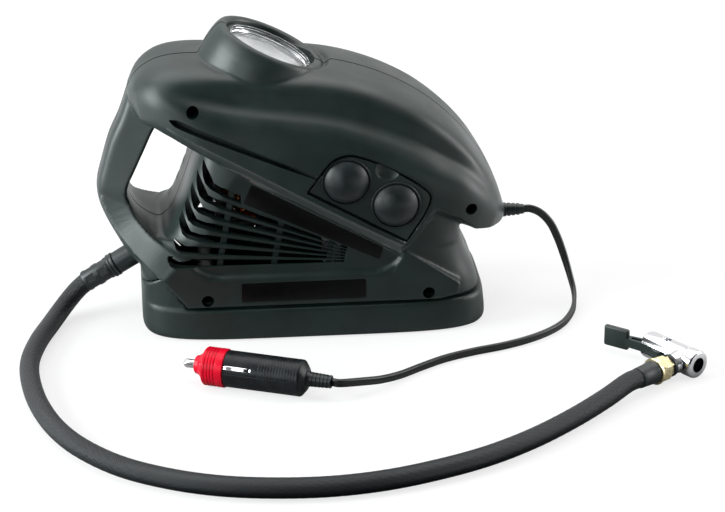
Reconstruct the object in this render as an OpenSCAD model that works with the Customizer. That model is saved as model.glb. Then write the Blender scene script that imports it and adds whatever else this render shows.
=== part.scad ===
// Portable 12 V tyre inflator with a work light. X runs towards the nose, Y away from the
// switch side, Z up. The origin is the centre of the base's underside.

/* [Housing] */
// Wall thickness of the housing shells
shell_wall = 3; // [2.2:0.1:3.4]
// Half width of the upper housing at its widest
housing_half_w = 50; // [49:0.5:56]
// Height of the upper housing's top line
housing_top = 150; // [146:0.5:158]
// Half width of the carrying handle
handle_half_w = 18; // [14:0.5:22]
// Depth of the styling crease beside the crown, as a share of the local height
crease_depth = 0.2; // [0.12:0.01:0.22]
// Outer radius of the screw posts inside the shells
post_r = 5; // [4.6:0.1:6]
// Radius of the countersunk screw wells
well_r = 3.4; // [3.2:0.1:3.8]
// Radius of the case screws' shanks
screw_r = 1.5; // [1.2:0.1:1.8]

/* [Base] */
// Length of the base
base_l = 195; // [190:1:210]
// Width of the base
base_w = 94; // [90:1:98]
// Height of the base at its sides
base_h = 17; // [14:0.5:20]
// Height of the base's raised rear end
base_rear_h = 35; // [32:0.5:40]
// Thickness of the base's floor and walls
base_wall = 3; // [2:0.1:4]
// Radius of the anti-slip pads
pad_r = 7; // [5:0.5:9]
// Thickness of the anti-slip pads
pad_t = 1.6; // [1:0.1:2]

/* [Louvres] */
// Number of cooling slots on each side
slot_count = 7; // [4:1:7]
// Angle of the topmost slot
slot_top_angle = 26.5; // [24:0.5:27]
// Angle between neighbouring slots
slot_step = 4.2; // [3.6:0.1:4.2]
// Angle that one slot opens
slot_open = 2.3; // [1.6:0.1:2.5]
// Width of the upright ribs behind the slots
rib_w = 3; // [2:0.1:5]

/* [Work light] */
// Tilt of the light from straight up
lamp_tilt = 26.6; // [20:0.2:32]
// Outer radius of the light's rim
lamp_r = 31; // [30:0.2:33]
// Radius of the light's ring
lamp_ring_r = 27.3; // [26.6:0.1:28]
// Radius of the clear lens
lens_r = 24; // [22:0.1:25]
// Thickness of the clear lens
lens_t = 2; // [1.4:0.1:3]
// Depth of the reflector
reflector_depth = 20; // [16:0.5:24]

/* [Switches] */
// Radius of the push buttons
button_r = 12.4; // [11:0.1:13]
// How far the push buttons stand out of the panel
button_rise = 5.6; // [4:0.1:8]
// Travel of the push buttons
button_travel = 3; // [2:0.1:4]
// Thickness of the switch panel
panel_t = 3; // [2.4:0.1:3.6]
// Gap round the switch panel
panel_gap = 0.8; // [0.6:0.1:1.4]
// Side of the square switch bodies
switch_w = 14; // [12:0.2:16]

/* [Drive] */
// Outer radius of the motor can
motor_r = 22; // [20:0.2:22.2]
// Length of the motor can
motor_l = 43; // [38:0.5:46]
// Radius of the motor shaft
shaft_r = 2.5; // [2:0.1:3]
// Tooth module of the gear pair
gear_module = 1; // [0.9:0.01:1.02]
// Teeth on the pinion
pinion_teeth = 12; // [11:1:13]
// Teeth on the crank gear
gear_teeth = 48; // [44:1:49]
// Face width of the gears
gear_w = 6; // [4:0.5:7]
// Piston stroke
stroke = 16; // [12:0.5:17]
// Bore of the compressor cylinder
cylinder_bore = 22; // [20:0.5:24]
// Radius of the cylinder's cooling fins
fin_r = 17; // [16:0.1:17]
// Height of the cylinder
cylinder_h = 24; // [22:0.5:26]
// Radius of the cooling fan
fan_r = 17; // [14:0.5:18]

/* [Hose and chuck] */
// Outer diameter of the air hose
hose_d = 10.6; // [9:0.1:11]
// Radius of the chuck's barrel
chuck_r = 7.7; // [7.2:0.1:8.2]
// Length of the chuck's barrel
chuck_l = 37; // [34:0.5:42]
// Radius of the mouth that takes the tyre valve
valve_bore_r = 4.2; // [4:0.05:4.6]
// Distance across the flats of the coupling nut
nut_flats = 13; // [11:0.5:14]
// Length of the chuck's thumb lever from its pin
lever_l = 38; // [32:0.5:42]
// Angle that the thumb lever swings to lock
lever_swing = 90; // [60:5:95]

/* [Cord and plug] */
// Width of the flat power cord
cord_w = 4.6; // [4:0.1:5.4]
// Thickness of the flat power cord
cord_t = 2.8; // [2.2:0.1:3.2]
// Radius of the plug's barrel
plug_r = 9.9; // [9.4:0.1:10.1]
// Length of the plug's barrel
plug_l = 45; // [40:0.5:50]
// Radius of the plug's ribbed ring
plug_ring_r = 10.5; // [10.3:0.1:10.8]
// Travel of the plug's tip contact
tip_travel = 2.5; // [1.5:0.1:3]

/* [Hidden] */

$fn = 48;
far = 200;          // long enough to cut through anything here
eps = 0.05;         // overlap that keeps a cut clean
clear = 0.3;        // gap between pieces that must not bind
seat = 0.1;         // gap between a piece and the seat that holds it

plastic = [0.13, 0.14, 0.14];
rubber = [0.06, 0.06, 0.07];
steel = [0.72, 0.73, 0.75];
copper = [0.72, 0.38, 0.16];
brass = [0.80, 0.68, 0.42];
red = [0.80, 0.06, 0.12];
alloy = [0.62, 0.64, 0.66];

// ---- helpers -------------------------------------------------------------------------

// Closes a run of rings, each with equally many points, into one solid.
module skin(rings) {
    n = len(rings[0]);
    m = len(rings);
    sides = [
        for (j = [0 : m - 2])
            for (i = [0 : n - 1])
                let (a = j * n + i, b = j * n + (i + 1) % n)
                    each [[a, b + n, b], [a, a + n, b + n]]
    ];
    first = [for (i = [0 : n - 1]) i];
    last = [for (i = [n - 1 : -1 : 0]) (m - 1) * n + i];
    polyhedron([for (r = rings) each r], concat([first], sides, [last]));
}

function unit(v) = v / norm(v);
function mix(a, b, k) = a + (b - a) * k;
function arc(c, r, a0, a1, n) = [
    for (i = [0 : n]) let (a = mix(a0, a1, i / n)) c + r * [cos(a), sin(a)]
];
function tangent(p, i) = unit(p[min(i + 1, len(p) - 1)] - p[max(i - 1, 0)]);

// Cross directions carried along a route without twist.
function carried(p, up) = [
    for (i = 0, u = up; i < len(p);
        i = i + 1, u = i < len(p) ? unit(u - (u * tangent(p, i)) * tangent(p, i)) : u) u
];

// A tube of an oval section that follows a route; its ends are square to the end directions.
module tube_along(p, w, h, sides, up) {
    ups = carried(p, unit(up - (up * tangent(p, 0)) * tangent(p, 0)));
    skin([
        for (i = [0 : len(p) - 1])
            let (t = tangent(p, i), u = ups[i], s = cross(u, t))
                [for (k = [0 : sides - 1])
                    let (a = 360 * (k + 0.5) / sides)
                        p[i] + s * w / 2 * cos(a) + u * h / 2 * sin(a)]
    ]);
}

// Lays a piece made along +Z so that it runs from a point in a level direction.
module lay(at, heading) {
    translate(at) rotate([0, 0, heading]) rotate([0, 90, 0]) children();
}

// Turns a side outline drawn in X and Z into a slab from y0 to y1.
module slab(y0, y1) {
    translate([0, y1, 0]) rotate([90, 0, 0]) linear_extrude(y1 - y0) children();
}

module ring(outer, inner, h) {
    difference() {
        cylinder(r = outer, h = h);
        translate([0, 0, -eps]) cylinder(r = inner, h = h + 2 * eps);
    }
}

// ---- housing forms -------------------------------------------------------------------
// A station holds the top point, the bottom point, the half width and how far the crease
// beside the crown has grown in.
top_z = housing_top;
hood_w = housing_half_w;
hood = [
    [[-104, top_z - 17], [-98, 122], 15, 0],
    [[-99.5, top_z - 11], [-95, 119], 27, 0],
    [[-92, top_z - 5.5], [-88, 118], 36, 0.1],
    [[-82, top_z - 1.5], [-79, 118], 42, 0.3],
    [[-68, top_z], [-66, 116], hood_w - 4, 0.7],
    [[-46, top_z], [-44, 104], hood_w - 2, 1],
    [[-18, top_z - 0.5], [-16, 88], hood_w, 1],
    [[8, top_z - 4.5], [6, 75.5], hood_w, 1],
    [[32, top_z - 13], [26, 64], hood_w, 1],
    [[54, top_z - 25], [44, 53.5], hood_w - 0.5, 1],
    [[71, top_z - 37], [59, 69], hood_w - 2.5, 1],
    [[85, top_z - 49], [73, 63], hood_w - 6, 1],
    [[95, top_z - 63], [84, 54], hood_w - 12, 0.8],
    [[102, top_z - 77], [94, 46], hood_w - 20, 0.5],
    [[106.5, top_z - 89], [102, 45.5], hood_w - 31, 0.2]
];
// Section of the hood: share of the half width, share of the height down from the top.
hood_plain = [
    [0, 0], [0.3, 0.01], [0.52, 0.035], [0.68, 0.08], [0.79, 0.13], [0.87, 0.2],
    [0.93, 0.27], [0.965, 0.36], [0.985, 0.46], [0.995, 0.56], [1, 0.7], [0.985, 0.92],
    [0.94, 0.99], [0.86, 1], [0, 1]
];
hood_creased = [
    [0, 0], [0.34, 0.01], [0.54, 0.035], [0.63, 0.085], [0.68, crease_depth * 0.8],
    [0.71, crease_depth], [0.79, crease_depth + 0.035], [0.87, 0.29], [0.94, 0.38],
    [0.98, 0.49], [1, 0.62], [0.995, 0.92], [0.965, 0.985], [0.92, 1], [0, 1]
];
// Section of the handle: share of the half width, share of the depth from the outside.
handle_section = [
    [0, 0], [0.35, 0.02], [0.65, 0.09], [0.85, 0.2], [0.96, 0.34], [1, 0.5], [1, 0.96],
    [0.95, 1], [0, 1]
];
// A handle station holds its outer point, its inner point and its half width.
grip = [
    [[-104, top_z - 16.5], [-80, 124], handle_half_w],
    [[-109, 120], [-88, 115.5], handle_half_w],
    [[-115, 107], [-94, 103], handle_half_w],
    [[-119, 92], [-100, 90], handle_half_w],
    [[-121, 80], [-104, 81], handle_half_w],
    [[-120.5, 71], [-104, 74], handle_half_w],
    [[-117.5, 62], [-100, 66], handle_half_w + 2],
    [[-112, 51], [-93.5, 60], handle_half_w + 6],
    [[-105, 40], [-87, 56.5], handle_half_w + 14],
    [[-94, 30], [-82, 50], handle_half_w + 22]
];
// Levels of the lower housing: height, rear end, front end, half width.
tub_low = [
    [base_h, -97.2, 95.5, 46.5], [28, -97.6, 91.5, 46.5], [38, -98, 87, 46.5],
    [48, -97.5, 83.5, 46.3], [54, -95, 82.5, 46], [57.5, -91, 82, 45.2]
];
tub_high = [
    [50, -90, 83, 45.6], [57, -86.5, 82, 45.6], [62, -81, 81.5, 45.6], [70, -77, 81, 45.6],
    [83, -72, 79, 45.4], [95, -68, 76, 45], [112, -62, 68, 44], [124, -59, 55, 42]
];
tub_square_low = 3.5;   // how square the lower housing's plan is
tub_square_high = 5.5;
plan_steps = 16;

function hood_shape(k, i) = mix(hood_plain[i], hood_creased[i], k);
function hood_ring(s, inset) =
    let (d = unit(s[1] - s[0]), t = s[0] + d * inset, b = s[1] - d * inset,
        w = s[2] - inset)
    [for (i = [0 : len(hood_plain) - 1])
        let (f = hood_shape(s[3], i), q = mix(t, b, f[1])) [q[0], -w * f[0], q[1]]];
function grip_ring(s, inset) =
    let (d = unit(s[1] - s[0]), o = s[0] + d * inset, n = s[1] - d * inset,
        w = s[2] - inset)
    [for (f = handle_section) let (q = mix(o, n, f[1])) [q[0], -w * f[0], q[1]]];
function plan_ring(z, x0, x1, w, square) =
    [for (i = [0 : plan_steps])
        let (a = 180 * i / plan_steps, c = cos(a), s = sin(a))
            [(x0 + x1) / 2 - (x1 - x0) / 2 * sign(c) * pow(abs(c), 2 / square),
                -w * pow(s, 2 / square), z]];

module hood_half(inset) {
    // the cavity stops one station short at each end
    trim = inset > 0 ? 1 : 0;
    skin([for (i = [trim : len(hood) - 1 - trim]) hood_ring(hood[i], inset)]);
}

module grip_half(inset) {
    skin([for (i = [len(grip) - 1 : -1 : 0]) grip_ring(grip[i], inset)]);
}

module tub_half(levels, square, inset) {
    last = len(levels) - 1;
    skin([for (i = [0 : last])
        plan_ring(levels[i][0] - (inset > 0 && i == last ? inset : 0)
            - (inset > 0 && i == 0 ? 1 : 0),
            levels[i][1] + inset, levels[i][2] - inset, levels[i][3] - inset, square)]);
}

// Region of the base's raised rear, seen from the side.
base_step_x0 = -79;
base_step_x1 = -65;
module base_profile(grow) {
    polygon([
        [-far, -1], [far, -1], [far, base_h + grow], [base_step_x1, base_h + grow],
        [base_step_x0, base_rear_h + grow], [-far, base_rear_h + grow]
    ]);
}

// ---- louvre window -------------------------------------------------------------------
slot_apex = [35, 43.5];         // where the slots' centre lines meet
slot_start = 22;                // distance from there at which they begin
knee_top = [-60, 92];           // where the slots turn up round the rear corner
knee_low = [-80, 48];
tail_rise = 10;
tail_lean = -2.2;
label_left = -43;
recess = 2;                     // how far the louvred wall is set back
label_y = -45.9;                // back of the lower label
lower_label_shape = [[-44, 22.5], [-44, 34], [25, 34], [25, 22.5]];
louvre_wall_y = tub_high[0][3] - recess;
window = [
    [-75, 57.5], [-70, 44], [-60, 37.5], [33, 37.5], [41.5, 43.5], [46, 52], [-64, 116],
    [-66, 96]
];

function slot_angle(k) = slot_top_angle - slot_step * k;
function slot_knee(a) =
    // where a line from the apex at this angle meets the line between the two knees
    let (t = tan(a), g = (knee_top[0] - knee_low[0]) / (knee_top[1] - knee_low[1]),
        x = (knee_low[0] + g * (slot_apex[1] + slot_apex[0] * t - knee_low[1]))
            / (1 + g * t))
    [x, slot_apex[1] + (slot_apex[0] - x) * t];
function along_slot(a, x) = [x, slot_apex[1] + (slot_apex[0] - x) * tan(a)];

module slot(k) {
    a = slot_angle(k);
    hi = a + slot_open / 2;
    lo = a - slot_open / 2;
    right = k == 0 ? label_left : slot_apex[0] - slot_start * cos(a);
    knee = slot_knee(a);
    tail = k < 5 ? tail_rise : 2;
    polygon([
        along_slot(hi, right), along_slot(hi, knee[0] + 1.5),
        [knee[0] + tail_lean * 0.3, along_slot(hi, knee[0])[1] + tail * 0.6],
        [knee[0] + tail_lean, along_slot(hi, knee[0])[1] + tail],
        [knee[0] + tail_lean - 1.4, along_slot(hi, knee[0])[1] + tail * 0.5],
        along_slot(mix(lo, hi, 0.3), knee[0] - 1.8), along_slot(lo, knee[0] + 1),
        along_slot(lo, right)
    ]);
}

// ---- screw posts ---------------------------------------------------------------------
posts = [[-68, 135], [82, 71], [-62, 26], [60, 25.5]];
post_seat = 8;          // how far each screw head sits from the centre plane
groove_depth = 2.8;     // how far the long groove reaches into the side
screw_l = 18;

module along_y(p, y) {
    translate([p[0], y, p[1]]) rotate([-90, 0, 0]) children();
}

module post_solids(y0, y1) {
    for (p = posts) along_y(p, y0) cylinder(r = post_r, h = y1 - y0);
}

// ---- work light ----------------------------------------------------------------------
lamp_at = [-23.5, 0, top_z + 4.5];
lamp_base_r = lamp_r + 4.5;
lamp_neck = 28;         // length of the light's collar along its axis
ring_depth = 6.5;       // depth of the ring's seat below the rim
ring_drop = 1.5;        // how far the ring lies below the rim
reflector_r = lamp_ring_r - 2;
holder_r = 7;

module at_lamp(z) {
    translate(lamp_at) rotate([0, lamp_tilt, 0]) translate([0, 0, z]) children();
}

module lamp_collar() {
    at_lamp(-lamp_neck) cylinder(r1 = lamp_base_r, r2 = lamp_r + 0.8, h = lamp_neck - 3);
    at_lamp(-3 - eps) cylinder(r1 = lamp_r + 0.8, r2 = lamp_r, h = 3 + eps);
}

module lamp_bore() {
    at_lamp(-ring_depth) cylinder(r = lamp_ring_r + seat, h = ring_depth + 5);
    at_lamp(-lamp_neck - 16) cylinder(r = reflector_r + seat, h = lamp_neck + 16);
}

// ---- switch panel --------------------------------------------------------------------
pocket = [
    [-8, 87.2], [2, 101], [7, 106], [15, 108.2], [23, 106.6], [35, 101.6], [48, 94],
    [57, 87.5], [60.5, 82.5], [59.8, 77], [56.5, 70], [47.2, 55.6]
];
button_at = [[14, 92.5], [41, 78]];
panel_y = 1.6 - housing_half_w;         // front face of the switch panel
panel_lip = 2.2;                        // how far its rim reaches behind the shell wall
rim_t = 1.2;
panel_back = panel_y + panel_t;
collar_r = 15.6;
seal_r = button_r + clear + 1.2;
switch_y = panel_back + 9.4;            // front face of the switch bodies
switch_back = switch_y + 13;
flange_r = 13.6;
stem_r = 3;

module pocket_shape(grow) {
    offset(delta = grow) polygon(pocket);
}

// ---- hose and cord exits -------------------------------------------------------------
hose_exit = [-98, 0, 37.5];
hose_slope = 31;                        // downward slope of the hose as it leaves
hose_out = [-cos(hose_slope), 0, -sin(hose_slope)];
sleeve_l = 32;
sleeve_r = 7.4;
fitting_r = 5;
cord_exit = [107, 0, 53];
gland_r = 4;
gland_in = 9;           // length of the gland inside the nose
gland_l = 12;           // length of its tapered outer end
gland_collar_r = 5.6;
collar_at = 2;
collar_t = 2;

module at_gland(s) {
    translate([cord_exit[0] - gland_in + s, 0, cord_exit[2]]) rotate([0, 90, 0]) children();
}

module at_hose_exit() {
    translate(hose_exit) rotate([0, -90 - hose_slope, 0]) children();
}

// ---- shells --------------------------------------------------------------------------
module outer_half() {
    hood_half(0);
    grip_half(0);
    tub_half(tub_low, tub_square_low, 0);
    tub_half(tub_high, tub_square_high, 0);
}

module inner_half() {
    hood_half(shell_wall);
    grip_half(shell_wall);
    tub_half(tub_low, tub_square_low, shell_wall);
    tub_half(tub_high, tub_square_high, shell_wall + recess);
}

module near_space() {
    translate([-far, -far, -far]) cube([2 * far, far, 2 * far]);
}

module collar_half() {
    intersection() {
        lamp_collar();
        near_space();
    }
}

module louvre_ribs() {
    rib_depth = 3;
    y1 = -louvre_wall_y + shell_wall + rib_depth;
    intersection() {
        for (x = [-52, -22, 8])
            slab(-louvre_wall_y + shell_wall - 0.6, y1)
                polygon([[x - 6, 36], [x - 6 + rib_w, 36], [x + 5 + rib_w, 100],
                    [x + 5, 100]]);
        slab(-far, 0) polygon(window);
    }
}

// The half shell on the switch side, with whatever both halves share.
module shell_half() {
    difference() {
        union() {
            outer_half();
            collar_half();
        }
        difference() {
            inner_half();
            post_solids(-far, 0);
        }
        lamp_bore();
        slab(-far, 1) base_profile(0);
        slab(-far, -louvre_wall_y) polygon(window);
        for (k = [0 : slot_count - 1]) slab(-far, -louvre_wall_y + shell_wall + 8) slot(k);
        at_hose_exit() translate([0, 0, -shell_wall - 3]) cylinder(r = sleeve_r + seat, h = 30);
        at_gland(-3) cylinder(r = gland_r + seat, h = 30);
        at_gland(collar_at - seat) cylinder(r = gland_collar_r + seat, h = collar_t + 2 * seat);
    }
    louvre_ribs();
}

module shell_near() color(plastic) difference() {
    shell_half();
    slab(-far, panel_back + 5.4) pocket_shape(0);
    slab(panel_back - seat, panel_back + 15.4) pocket_shape(panel_lip + clear);
    slab(-far, label_y) offset(delta = 0.2) polygon(lower_label_shape);
    slab(-far, groove_depth - hood_w) hull() {
        translate([-73, 127]) circle(r = 2.6);
        translate([-5, 92]) circle(r = 2.6);
    }
    for (p = posts) {
        along_y(p, -far) cylinder(r = well_r, h = far - post_seat);
        along_y(p, -far) cylinder(r = screw_r + seat, h = far + 1);
    }
}

module shell_far() color(plastic) mirror([0, 1, 0]) difference() {
    shell_half();
    for (p = posts)
        along_y(p, -(screw_l - post_seat)) cylinder(r = screw_r + seat, h = far);
}

module case_screws() color(steel) for (p = posts) {
    along_y(p, -post_seat - 2.5) cylinder(r = well_r - 0.3, h = 2.5 - seat);
    along_y(p, -post_seat - 0.5) cylinder(r = screw_r, h = screw_l - 1);
}

module upper_label() color(rubber) slab(-louvre_wall_y - 0.5, -louvre_wall_y)
    polygon([[-42, 80.5], [-37, 92], [35.5, 53.5], [33, 44.5]]);

module lower_label() color(rubber) slab(label_y - 0.7, label_y) polygon(lower_label_shape);

// ---- base ----------------------------------------------------------------------------
base_a = base_l / 2;
base_b = base_w / 2;
foot_at = [[-70, -30], [-70, 30], [72, -30], [72, 30]];
frame_post_y = 17;
frame_foot_z = 10;
frame_x = 9;            // rear face of the gearbox plate
frame_t = 4;

// Levels of the base: height, rear end, front end, half width.
base_levels = [
    [0, 1.5 - base_a, base_a - 1.5, base_b - 1.5], [1.5, -base_a, base_a, base_b],
    [6, -base_a, base_a, base_b], [11, -base_a, base_a - 1, base_b - 1.8],
    [base_h, -base_a, base_a - 2, base_b - 2.4],
    [base_rear_h + 1, -base_a, base_a - 6, base_b - 2.4]
];
module base_form(inset) {
    first = inset > 0 ? 1 : 0;
    last = len(base_levels) - 1;
    for (side = [0, 1]) mirror([0, side, 0])
        skin([for (i = [first : last]) let (b = base_levels[i])
            plan_ring(b[0] + (i == last ? first : 0) + (i == 1 ? max(inset - 1.5, 0) : 0),
                b[1] + inset, b[2] - inset, b[3] - inset, tub_square_low)]);
}

module base() color(plastic) difference() {
    union() {
        intersection() {
            difference() {
                base_form(0);
                base_form(base_wall);
            }
            slab(-far, far) base_profile(0);
        }
        for (s = [-1, 1]) {
            translate([frame_x + frame_t / 2, s * frame_post_y, 1])
                cylinder(r = 5, h = frame_foot_z - 1);
        }
    }
    for (f = foot_at) translate([f[0], f[1], -1]) cylinder(r = pad_r + seat, h = pad_t + 1);
    for (s = [-1, 1]) {
        translate([frame_x + frame_t / 2, s * frame_post_y, -1]) cylinder(r = 3.4, h = 4);
        translate([frame_x + frame_t / 2, s * frame_post_y, -1])
            cylinder(r = screw_r + seat, h = far);
    }
    at_hose_exit() translate([0, 0, -shell_wall - 3]) cylinder(r = sleeve_r + seat, h = 40);
}

module base_pads() color(rubber) for (f = foot_at)
    translate([f[0], f[1], 0]) cylinder(r = pad_r, h = pad_t);

module base_screws() color(steel) for (s = [-1, 1])
    translate([frame_x + frame_t / 2, s * frame_post_y, 0]) {
        translate([0, 0, 1]) cylinder(r = 3.1, h = 2);
        translate([0, 0, 2]) cylinder(r = screw_r, h = frame_foot_z + 4);
    }

// ---- work light pieces ---------------------------------------------------------------
module lamp_ring() color(plastic) at_lamp(-ring_depth)
    rotate_extrude() polygon([
        [lens_r - 1.2, 0], [lamp_ring_r, 0], [lamp_ring_r, ring_depth - ring_drop],
        [lens_r + 0.9, ring_depth - ring_drop], [lens_r + seat, 2 + lens_t + 0.4],
        [lens_r + seat, 2], [lens_r - 1.2, 2]
    ]);

module lamp_lens() color([0.9, 0.95, 1, 0.5]) at_lamp(-ring_depth + 2)
    cylinder(r = lens_r, h = lens_t);

module lamp_reflector() color(steel) at_lamp(-ring_depth)
    rotate_extrude() polygon(concat(
        [[lens_r - 1.5, -0.05 - seat], [reflector_r, -0.05 - seat], [reflector_r, -1.5]],
        [for (i = [0 : 8]) let (k = i / 8)
            [mix(lens_r - 0.6, holder_r + 1.2, k), -1.5 - reflector_depth * k * (2 - k) / 1]],
        [for (i = [8 : -1 : 0]) let (k = i / 8)
            [mix(lens_r - 1.8, holder_r + 0.1, k), -0.5 - reflector_depth * k * (2 - k)]]
    ));

holder_z = -ring_depth - reflector_depth + 3;
module lamp_bulb() color([1, 0.98, 0.9, 0.6]) at_lamp(holder_z)
    rotate_extrude() polygon(concat([[0, -6]], [[3, -6], [3, 0.5]],
        arc([0, 4.5], 4.2, -38, 90, 8)));

module bulb_holder() color(plastic) at_lamp(holder_z - 14) difference() {
    union() {
        cylinder(r = holder_r, h = 14);
        cylinder(r = holder_r + 3, h = 9);
    }
    translate([0, 0, 7.9]) cylinder(r = 3 + seat, h = 10);
}

// ---- switch pieces -------------------------------------------------------------------
module switch_panel() color(plastic) difference() {
    union() {
        slab(panel_y, panel_back) pocket_shape(-panel_gap);
        slab(panel_back - eps, panel_back + rim_t) intersection() {
            pocket_shape(panel_lip);
            polygon([[-11, 84], [-11, 112], [64, 112], [64, 50], [49, 50]]);
        }
        for (b = button_at)
            along_y(b, panel_back - eps) cylinder(r = collar_r, h = switch_y - panel_back + 3);
    }
    for (b = button_at) {
        along_y(b, panel_y - 1) cylinder(r = button_r + clear, h = far);
        along_y(b, panel_y - 1) cylinder(r = seal_r, h = 1 + 1.2);
        along_y(b, panel_back) cylinder(r = collar_r - 1.6, h = far);
    }
}

module button_seals() color(rubber) for (b = button_at)
    along_y(b, panel_y - 0.6) ring(seal_r - seat, button_r + clear, 1.8 - seat);

module push_button(at) {
    cap_r = (button_r * button_r + button_rise * button_rise) / (2 * button_rise);
    along_y(at, panel_y) union() {
        intersection() {
            translate([0, 0, cap_r - button_rise]) sphere(r = cap_r, $fn = 96);
            translate([0, 0, -button_rise - 1]) cylinder(r = button_r, h = button_rise + 1.1);
        }
        cylinder(r = button_r, h = panel_t + clear + eps);
        translate([0, 0, panel_t + clear]) cylinder(r = flange_r, h = 1.4);
        translate([0, 0, panel_t]) cylinder(r = stem_r, h = switch_y - panel_back + 1.5);
    }
}

module compressor_button() color(rubber) push_button(button_at[0]);
module light_button() color(rubber) push_button(button_at[1]);

module push_switch(at) {
    difference() {
        union() {
            along_y(at, switch_y) cylinder(r = collar_r - 1.6 - seat, h = 3);
            translate([at[0] - switch_w / 2, switch_y + 2, at[1] - switch_w / 2])
                cube([switch_w, switch_back - switch_y - 2, switch_w]);
            for (s = [-1, 1]) translate([at[0] + s * tab_x - 0.4, switch_back - 1, at[1] - 1.5])
                cube([0.8, 1 + tab_y - switch_back, 3]);
        }
        along_y(at, switch_y - 1) cylinder(r = stem_r + clear, h = 1 + 1.5 + button_travel + 1);
    }
}

module compressor_switch() color(plastic) push_switch(button_at[0]);
module light_switch() color(plastic) push_switch(button_at[1]);

// ---- motor ---------------------------------------------------------------------------
centre_distance = gear_module * (pinion_teeth + gear_teeth) / 2;
gear_z = 40;
motor_z = gear_z + centre_distance;
can_x0 = frame_x - motor_l;
open_l = 22;                // open space behind the can, where the windings show
end_x = can_x0 - open_l;    // rear face of the motor's end frame
winding_r = motor_r - 4;
overhang = 10;              // how far the windings stand out of the can
brush_r = 10.4;             // distance of the brush holders from the shaft's line
brush_l = 8;
brush_x = end_x + brush_l;
shaft_x0 = end_x - 8;
shaft_x1 = frame_x + frame_t + 9.5;

module along_x(x, z) {
    translate([x, 0, z]) rotate([0, 90, 0]) children();
}

module motor_can() color(steel) along_x(can_x0, motor_z) difference() {
    cylinder(r = motor_r, h = motor_l, $fn = 96);
    translate([0, 0, -1]) cylinder(r = motor_r - 2, h = motor_l - 1.5, $fn = 96);
    cylinder(r = 6, h = far);
}

module motor_end_frame() color(plastic) {
    along_x(end_x, motor_z) difference() {
        cylinder(r = motor_r - 1, h = 3);
        translate([0, 0, -1]) cylinder(r = 4.5 + seat, h = 5);
    }
    for (a = [45 : 90 : 315])
        along_x(end_x + 2.5, motor_z) rotate([0, 0, a]) translate([motor_r - 3, 0, 0])
            cylinder(r = 1.8, h = can_x0 - end_x - 2.5 - seat);
    for (s = [-1, 1])
        translate([end_x + 2.5, s * brush_r - 2, motor_z - 2]) cube([brush_l, 4, 4]);
}

module armature() color(copper) {
    core_l = motor_l - 18;
    along_x(can_x0 - overhang, motor_z) difference() {
        union() {
            cylinder(r = winding_r - 1.5, h = overhang + 3.1);
            translate([0, 0, overhang + 3]) cylinder(r = winding_r - 0.5, h = core_l);
            translate([0, 0, overhang + 2.9 + core_l]) cylinder(r = winding_r - 1.5, h = 5);
        }
        translate([0, 0, -1]) cylinder(r = shaft_r, h = far);
    }
}

module commutator() color(copper) along_x(can_x0 - overhang - 7.5, motor_z) ring(8, shaft_r, 7.5);

module motor_shaft() color(steel) along_x(shaft_x0, motor_z)
    cylinder(r = shaft_r, h = shaft_x1 - shaft_x0);

running = 0.05;         // radial gap of a shaft in its bush
module shaft_bushes() color(brass) {
    along_x(end_x, motor_z) ring(4.5, shaft_r + running, 3);
    along_x(frame_x, motor_z) ring(4.5, shaft_r + running, frame_t);
}

module cooling_fan() color(plastic) along_x(shaft_x0 + 1, motor_z) {
    ring(5, shaft_r, 5);
    for (a = [0 : 60 : 300]) rotate([0, 0, a]) translate([4.6, -0.6, 0])
        rotate([28, 0, 0]) translate([0, 0, 0.6]) cube([fan_r - 4.6, 1.2, 4]);
}

// ---- gears ---------------------------------------------------------------------------
addendum = 0.75;
dedendum = 1.15;
tooth_share = 0.41;     // share of the pitch that a tooth fills at the pitch line
function gear_points(teeth) =
    let (r = gear_module * teeth / 2, ra = r + addendum * gear_module,
        rd = r - dedendum * gear_module, p = 360 / teeth)
    [for (i = [0 : teeth - 1]) let (a = i * p, h = p * tooth_share / 2)
        each [rd * [cos(a - 1.45 * h), sin(a - 1.45 * h)],
            r * [cos(a - h), sin(a - h)],
            ra * [cos(a - 0.48 * h), sin(a - 0.48 * h)],
            ra * [cos(a + 0.48 * h), sin(a + 0.48 * h)],
            r * [cos(a + h), sin(a + h)],
            rd * [cos(a + 1.45 * h), sin(a + 1.45 * h)]]];

gear_x = frame_x + frame_t + 2;
gear_shaft_r = 4;
pin_r = 3;
rod_x = gear_x + gear_w + 3;        // rear face of the connecting rod
rod_t = 5;
cylinder_x = rod_x + rod_t / 2;

module pinion() color(brass) along_x(gear_x, motor_z) difference() {
    // a tooth gap faces straight down, towards the crank gear
    rotate([0, 0, 180 / pinion_teeth]) linear_extrude(gear_w + 1)
        polygon(gear_points(pinion_teeth));
    translate([0, 0, -1]) cylinder(r = shaft_r, h = far);
}

module crank_gear() color(steel) along_x(gear_x, gear_z) difference() {
    linear_extrude(gear_w) rotate([0, 0, 180]) polygon(gear_points(gear_teeth));
    translate([0, 0, -1]) cylinder(r = gear_shaft_r, h = far);
    rotate([0, 0, 180]) translate([stroke / 2, 0, 1]) cylinder(r = pin_r, h = far);
    for (a = [-50, 0, 50]) rotate([0, 0, a]) translate([15, 0, -1])
        cylinder(r = 4.5, h = far);
}

module gear_shaft() color(steel) along_x(frame_x - 6, gear_z)
    cylinder(r = gear_shaft_r, h = gear_x + gear_w - frame_x + 6);

module gear_bush() color(brass) along_x(frame_x - 5, gear_z)
    ring(6, gear_shaft_r + running, frame_t + 6);

// The crank pin stops just short of the rod's eye: the linkage is opened here.
module crank_pin() color(steel) along_x(gear_x + 1, gear_z + stroke / 2)
    cylinder(r = pin_r, h = rod_x - clear - gear_x - 1);

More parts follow.
